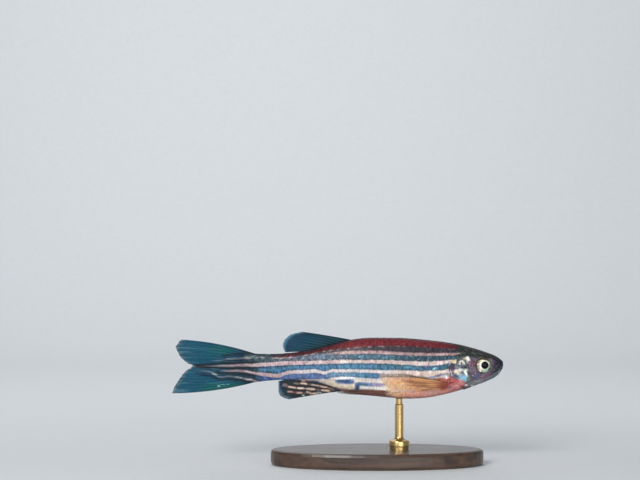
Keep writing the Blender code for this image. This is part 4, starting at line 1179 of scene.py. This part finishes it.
def anal_colour(p, t, u, ridge):
    d, z = as_seen(*np.moveaxis(p, -1, 0))
    flat = (d, z, 0 * d)
    dw = d + 0.05 * grain(flat, (4, 6, 1), 65)
    zw = z + 0.03 * grain(flat, 3, 66) + 0.02 * grain(flat, 9, 67)
    col = coats(plain((30, 44, 50), t.shape), ((4, 52, 80), smooth(27.2, 28.2, d) * 0.8),
                ((16, 22, 28), ridge * 0.5), ((20, 84, 108), smooth(0.84, 0.97, t) * 0.75))
    for row, wide, name, strength in ANAL_DASHES:
        away = strand_distance(dw, zw, row)
        if name not in DARK_DASHES:
            col = coats(col, ("soot", bump(away - wide - 0.09, 0.06) * 0.6 * strength),
                        ("brown", (1 - smooth(wide * 0.9, wide * 1.9, away)) * 0.6 * strength))
        col = coats(col, (name, (1 - smooth(wide * 0.3, wide * 1.3, away)) * strength))
    return np.clip(col * (1 + 0.18 * noise(u * 60, t * 4, 0 * t, 68))[..., None], 0, 1)


def anal_cover(t, u, ridge):
    return np.clip(0.98 - 0.45 * smooth(0.82, 1.0, t) + 0.1 * ridge, 0, 1)


def pectoral_colour(p, t, u, ridge):
    streak = noise(u * 17, t * 4.5, 0 * t, 71)
    return coats(
        plain((230, 166, 122), t.shape), ((250, 192, 120), smooth(0.05, 0.5, streak) * 0.8),
        ((138, 96, 70), smooth(0.05, 0.5, -streak) * 0.75),
        ((146, 66, 60), (1 - smooth(0.06, 0.26, t)) * 0.9),
        ((112, 78, 58), ridge * 0.45 * (1 - 0.6 * t)), ((66, 66, 54), smooth(0.12, 0.02, u) * 0.9))


def pelvic_colour(p, t, u, ridge):
    return coats(plain((118, 78, 72), t.shape), ((92, 82, 66), smooth(0.3, 1.0, t) * 0.7),
                 ((70, 50, 48), ridge * 0.4))


def soft_cover(t, u, ridge):
    return np.clip(0.95 - 0.7 * smooth(0.35, 1.0, t) + 0.12 * ridge * (1 - t), 0, 1)


def on_line(line, start, end):
    """The way along a line of the body that a fin's root takes."""
    def root(u):
        d = start + (end - start) * u
        return np.stack([d, 0 * u, line(d)], -1)

    return root


def first_ray_bow(u):
    return 0.05 * (1 - u)


def make_fins():
    make_fin("danio_dorsal_fin", ["dorsal_fin"], on_line(BACK, 19.4, 26.0),
             through(((25.5, 0, 4.35), (27.2, 0, 3.85), (27.95, 0, 2.75), (27.7, 0, 1.75))),
             9, 18, 70, dorsal_colour, clear_cover, bow=first_ray_bow,
             bend=lambda t, z: 0.35 * t * t, seed=1)
    make_fin("danio_anal_fin", ["anal_fin"], on_line(BELLY, 20.5, 27.9),
             through(((27.2, 0, -4.2), (28.0, 0, -3.95), (28.45, 0, -3.4), (28.5, 0, -2.75),
                      (28.5, 0, -1.9))),
             13, 14, 70, anal_colour, anal_cover, bow=first_ray_bow,
             bend=lambda t, z: -0.3 * t * t, seed=2)
    make_fin("danio_tail_fin", ["tail_fin"],
             through(((31.7, 0, 1.6), (31.75, 0, 0.7), (31.75, 0, -0.2), (31.75, 0, -1.15),
                      (31.7, 0, -2.05))),
             through(((40.9, 0, 3.3), (41.6, 0, 2.5), (41.2, 0, 1.4), (40.4, 0, 0.5), (39.4, 0, -0.05),
                      (40.3, 0, -0.65), (41.1, 0, -1.6), (41.65, 0, -2.5), (42.0, 0, -3.45))),
             18, 18, 110, tail_colour, tail_cover, bow=tail_bow, bend=tail_bend,
             thick=0.24, seed=3)
    for side, sign in SIDES:
        def mirrored(*points, sign=sign):
            return through([(d, sign * y, z) for d, y, z in points])

        make_fin(f"danio_pectoral_{side}", [f"pectoral_fin_{side}"],
                 mirrored((7.35, 1.95, -1.85), (7.5, 1.9, -2.3), (7.7, 1.7, -2.75)),
                 mirrored((13.8, 2.35, -0.65), (15.3, 2.4, -1.15), (15.3, 2.4, -1.9), (14.2, 2.3, -2.7),
                          (12.0, 2.1, -3.3)),
                 11, 14, 60, pectoral_colour, glassy_cover, seed=5, thick=0.14)
        make_fin(f"danio_pelvic_{side}", [f"pelvic_fin_{side}"],
                 mirrored((14.6, 1.3, -3.0), (14.6, 1.05, -3.35), (14.65, 0.7, -3.65)),
                 mirrored((19.4, 1.25, -2.9), (20.8, 1.0, -3.1), (21.0, 0.8, -3.35), (19.4, 0.6, -3.55)),
                 7, 14, 50, pelvic_colour, soft_cover, seed=6, thick=0.14)


def side_of_body(d, z):
    """How far the smooth body reaches sideways at a height."""
    widest = BELLY(d) + WIDEST_SHARE * (BACK(d) - BELLY(d))
    reach = np.where(z > widest, BACK(d) - widest, widest - BELLY(d))
    square = np.where(z > widest, UPPER_SQUARE(d), LOWER_SQUARE(d))
    share = np.clip(np.abs(z - widest) / reach, 0, 0.999)
    return HALF_WIDTH(d) * (1 - share ** square) ** (1 / square)


# Barbels: root, tip, droop and colour

BARBELS = (("rostral", (0.55, 0.35), (1.35, -0.35), 1.5, (66, 62, 74)),
           ("maxillary", (1.2, -0.95), (2.9, -2.15), 1.45, (100, 104, 112)))
BARBEL_RADIUS = 0.1
BARBEL_RINGS = 40
BARBEL_SPOKES = 16


def make_barbels():
    """Fine feelers, from the skin out along the solids that stand for them."""
    for kind, root, tip, droop, tone in BARBELS:
        for side, sign in SIDES:
            t = np.linspace(0, 1, BARBEL_RINGS)
            d = root[0] + (tip[0] - root[0]) * t
            z = root[1] + (tip[1] - root[1]) * t ** droop
            y = side_of_body(d, z) - 0.1 + 0.6 * smooth(0, 0.42, t)
            path = np.stack([d, sign * y, z], -1)
            radius = BARBEL_RADIUS * (1 - 0.75 * t) * np.sqrt(np.clip((1.005 - t) * 12, 0, 1))
            way = np.gradient(path, axis=0)
            way /= np.linalg.norm(way, axis=1, keepdims=True)
            first = np.cross(way, (0, 0, 1.0))
            first /= np.linalg.norm(first, axis=1, keepdims=True)
            second = np.cross(way, first)
            turn = (np.arange(BARBEL_SPOKES) / BARBEL_SPOKES * math.tau)[:, None]
            p = path[:, None] + radius[:, None, None] * (
                first[:, None] * np.cos(turn) + second[:, None] * np.sin(turn))
            colours = plain(tone, p.shape[:2]) * (1 + 0.2 * noise(t * 20, 0, 0, 81))[:, None, None]
            faces = list(grid_faces(BARBEL_RINGS, BARBEL_SPOKES, wrap=True))
            faces += [list(range(BARBEL_SPOKES))[::-1],
                      list(range((BARBEL_RINGS - 1) * BARBEL_SPOKES, BARBEL_RINGS * BARBEL_SPOKES))]
            piece = new_mesh(f"danio_{kind}_barbel_{side}", p, faces, SKIN, colours,
                             shine=np.full(p.shape[:2], 0.05))
            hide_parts(f"{kind}_barbel_{side}")


# The stand

ROD_TIP = 0.42
ROD_RADIUS = 0.55
COLLAR = 1.3
FLARE = 0.45
ROD_SPOKES = 64


def make_stand():
    wood = wood_material()
    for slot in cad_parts["stand_base"].material_slots:
        slot.material = wood
    low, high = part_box("stand_rod")
    x = (low[0] + high[0]) / 2
    top, foot = high[2] / MM, low[2] / MM
    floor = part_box("stand_base")[1][2] / MM
    # radius and height down the rod: the tip that goes into the belly, the shaft, a flare and a collar
    profile = [(0.0, top + 0.45), (0.3, top + 0.45), (ROD_TIP, top + 0.3), (ROD_TIP, top - 0.35),
               (ROD_RADIUS, top - 0.45), (ROD_RADIUS, top - 0.6), (ROD_RADIUS, foot + 1.3)]
    profile += [(ROD_RADIUS + FLARE * (1 - math.cos(a)), foot + 1.3 - FLARE * math.sin(a))
                for a in np.linspace(0.2, 1.5, 7)]
    profile += [(COLLAR - 0.12, foot + 0.8), (COLLAR - 0.04, foot + 0.75), (COLLAR, foot + 0.62),
                (COLLAR, foot + 0.12), (COLLAR - 0.1, foot + 0.02), (COLLAR - 0.1, floor), (0.0, floor)]
    turn = np.arange(ROD_SPOKES) / ROD_SPOKES * math.tau
    r, h = np.array(profile).T
    r = np.maximum(r, 0.001)
    d = SNOUT_X - x / MM + r[:, None] * np.cos(turn)
    p = np.stack([d, r[:, None] * np.sin(turn), (h - AXIS_Z)[:, None] + 0 * d], -1)
    faces = [*grid_faces(len(r), ROD_SPOKES, wrap=True, flip=True), list(range(ROD_SPOKES)),
             list(range((len(r) - 1) * ROD_SPOKES, len(r) * ROD_SPOKES))[::-1]]
    rod = new_mesh("stand_rod_turned", p, faces, brass_material())
    rod.data.set_sharp_from_angle(angle=math.radians(35))
    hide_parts("stand_rod")


# The room, in metres: a floor that bends up into a wall, and soft lamps

FLOOR_FRONT = -0.7
WALL_AT = 0.30
WALL_TOP = 0.8
WALL_BEND = 0.12
HALF_ROOM = 1.2
FISH_MIDDLE = (0.0, 0.0, 0.0125)
LAMPS = (  # name, place, size, watts, colour, aim
    ("key", (-0.13, -0.28, 0.16), 0.14, 0.84, (1.0, 0.98, 0.95), FISH_MIDDLE),
    ("fill", (0.1, -0.28, -0.01), 0.2, 0.56, (0.97, 0.98, 1.0), FISH_MIDDLE),
    ("rim", (-0.05, 0.22, 0.25), 0.2, 0.12, (1.0, 1.0, 1.0), FISH_MIDDLE),
    ("backdrop", (0.0, 0.1, 0.2), 0.3, 0.13, (1.0, 1.0, 1.0), (0.0, 0.3, 0.1)),
)


def placed(name, data, place=(0, 0, 0)):
    made = bpy.data.objects.new(name, data)
    made.location = place
    bpy.context.scene.collection.objects.link(made)
    return made


def make_room():
    side = [(FLOOR_FRONT, 0.0), (WALL_AT - WALL_BEND, 0.0)]
    side += [(WALL_AT - WALL_BEND + WALL_BEND * math.sin(a), WALL_BEND - WALL_BEND * math.cos(a))
             for a in np.linspace(0.1, math.pi / 2, 16)]
    side += [(WALL_AT, WALL_TOP)]
    mesh = bpy.data.meshes.new("studio_floor")
    mesh.from_pydata([(x, y, z) for y, z in side for x in (-HALF_ROOM, HALF_ROOM)], [],
                     [(2 * i, 2 * i + 1, 2 * i + 3, 2 * i + 2) for i in range(len(side) - 1)])
    mesh.materials.append(floor_material())
    mesh.shade_smooth()
    floor = placed("studio_floor", mesh)
    floor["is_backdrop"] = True

    world = bpy.data.worlds.new("studio")
    world.use_nodes = True
    sky = world.node_tree.nodes["Background"]
    sky.inputs[0].default_value = (0.86, 0.93, 1.0, 1)
    sky.inputs[1].default_value = 0.3
    bpy.context.scene.world = world
    for name, place, size, power, colour, aim in LAMPS:
        lamp = bpy.data.lights.new(name, "AREA")
        lamp.energy = power
        lamp.size = size
        lamp.color = colour
        way = Vector(np.array(aim) - np.array(place))
        placed(name, lamp, place).rotation_euler = way.to_track_quat("-Z", "Y").to_euler()
    camera = bpy.data.cameras.new("camera")
    camera.lens = 100.0
    camera.sensor_width = 36.0
    camera.clip_start = 0.005
    behind, away, above = CAMERA
    holder = placed("camera", camera, ((SNOUT_X - behind) * MM, -away * MM, (AXIS_Z + above) * MM))
    holder.rotation_euler = (math.radians(90), 0, 0)
    bpy.context.scene.camera = holder
    bpy.context.scene.view_settings.view_transform = "Standard"


make_room()
make_skin()
make_scales()
make_eyes()
make_fins()
make_barbels()
make_stand()

boxes = {"cad": CAD_BOX, "visual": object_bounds()}
{k: [list(map(float, corner)) for corner in box] for k, box in boxes.items()}
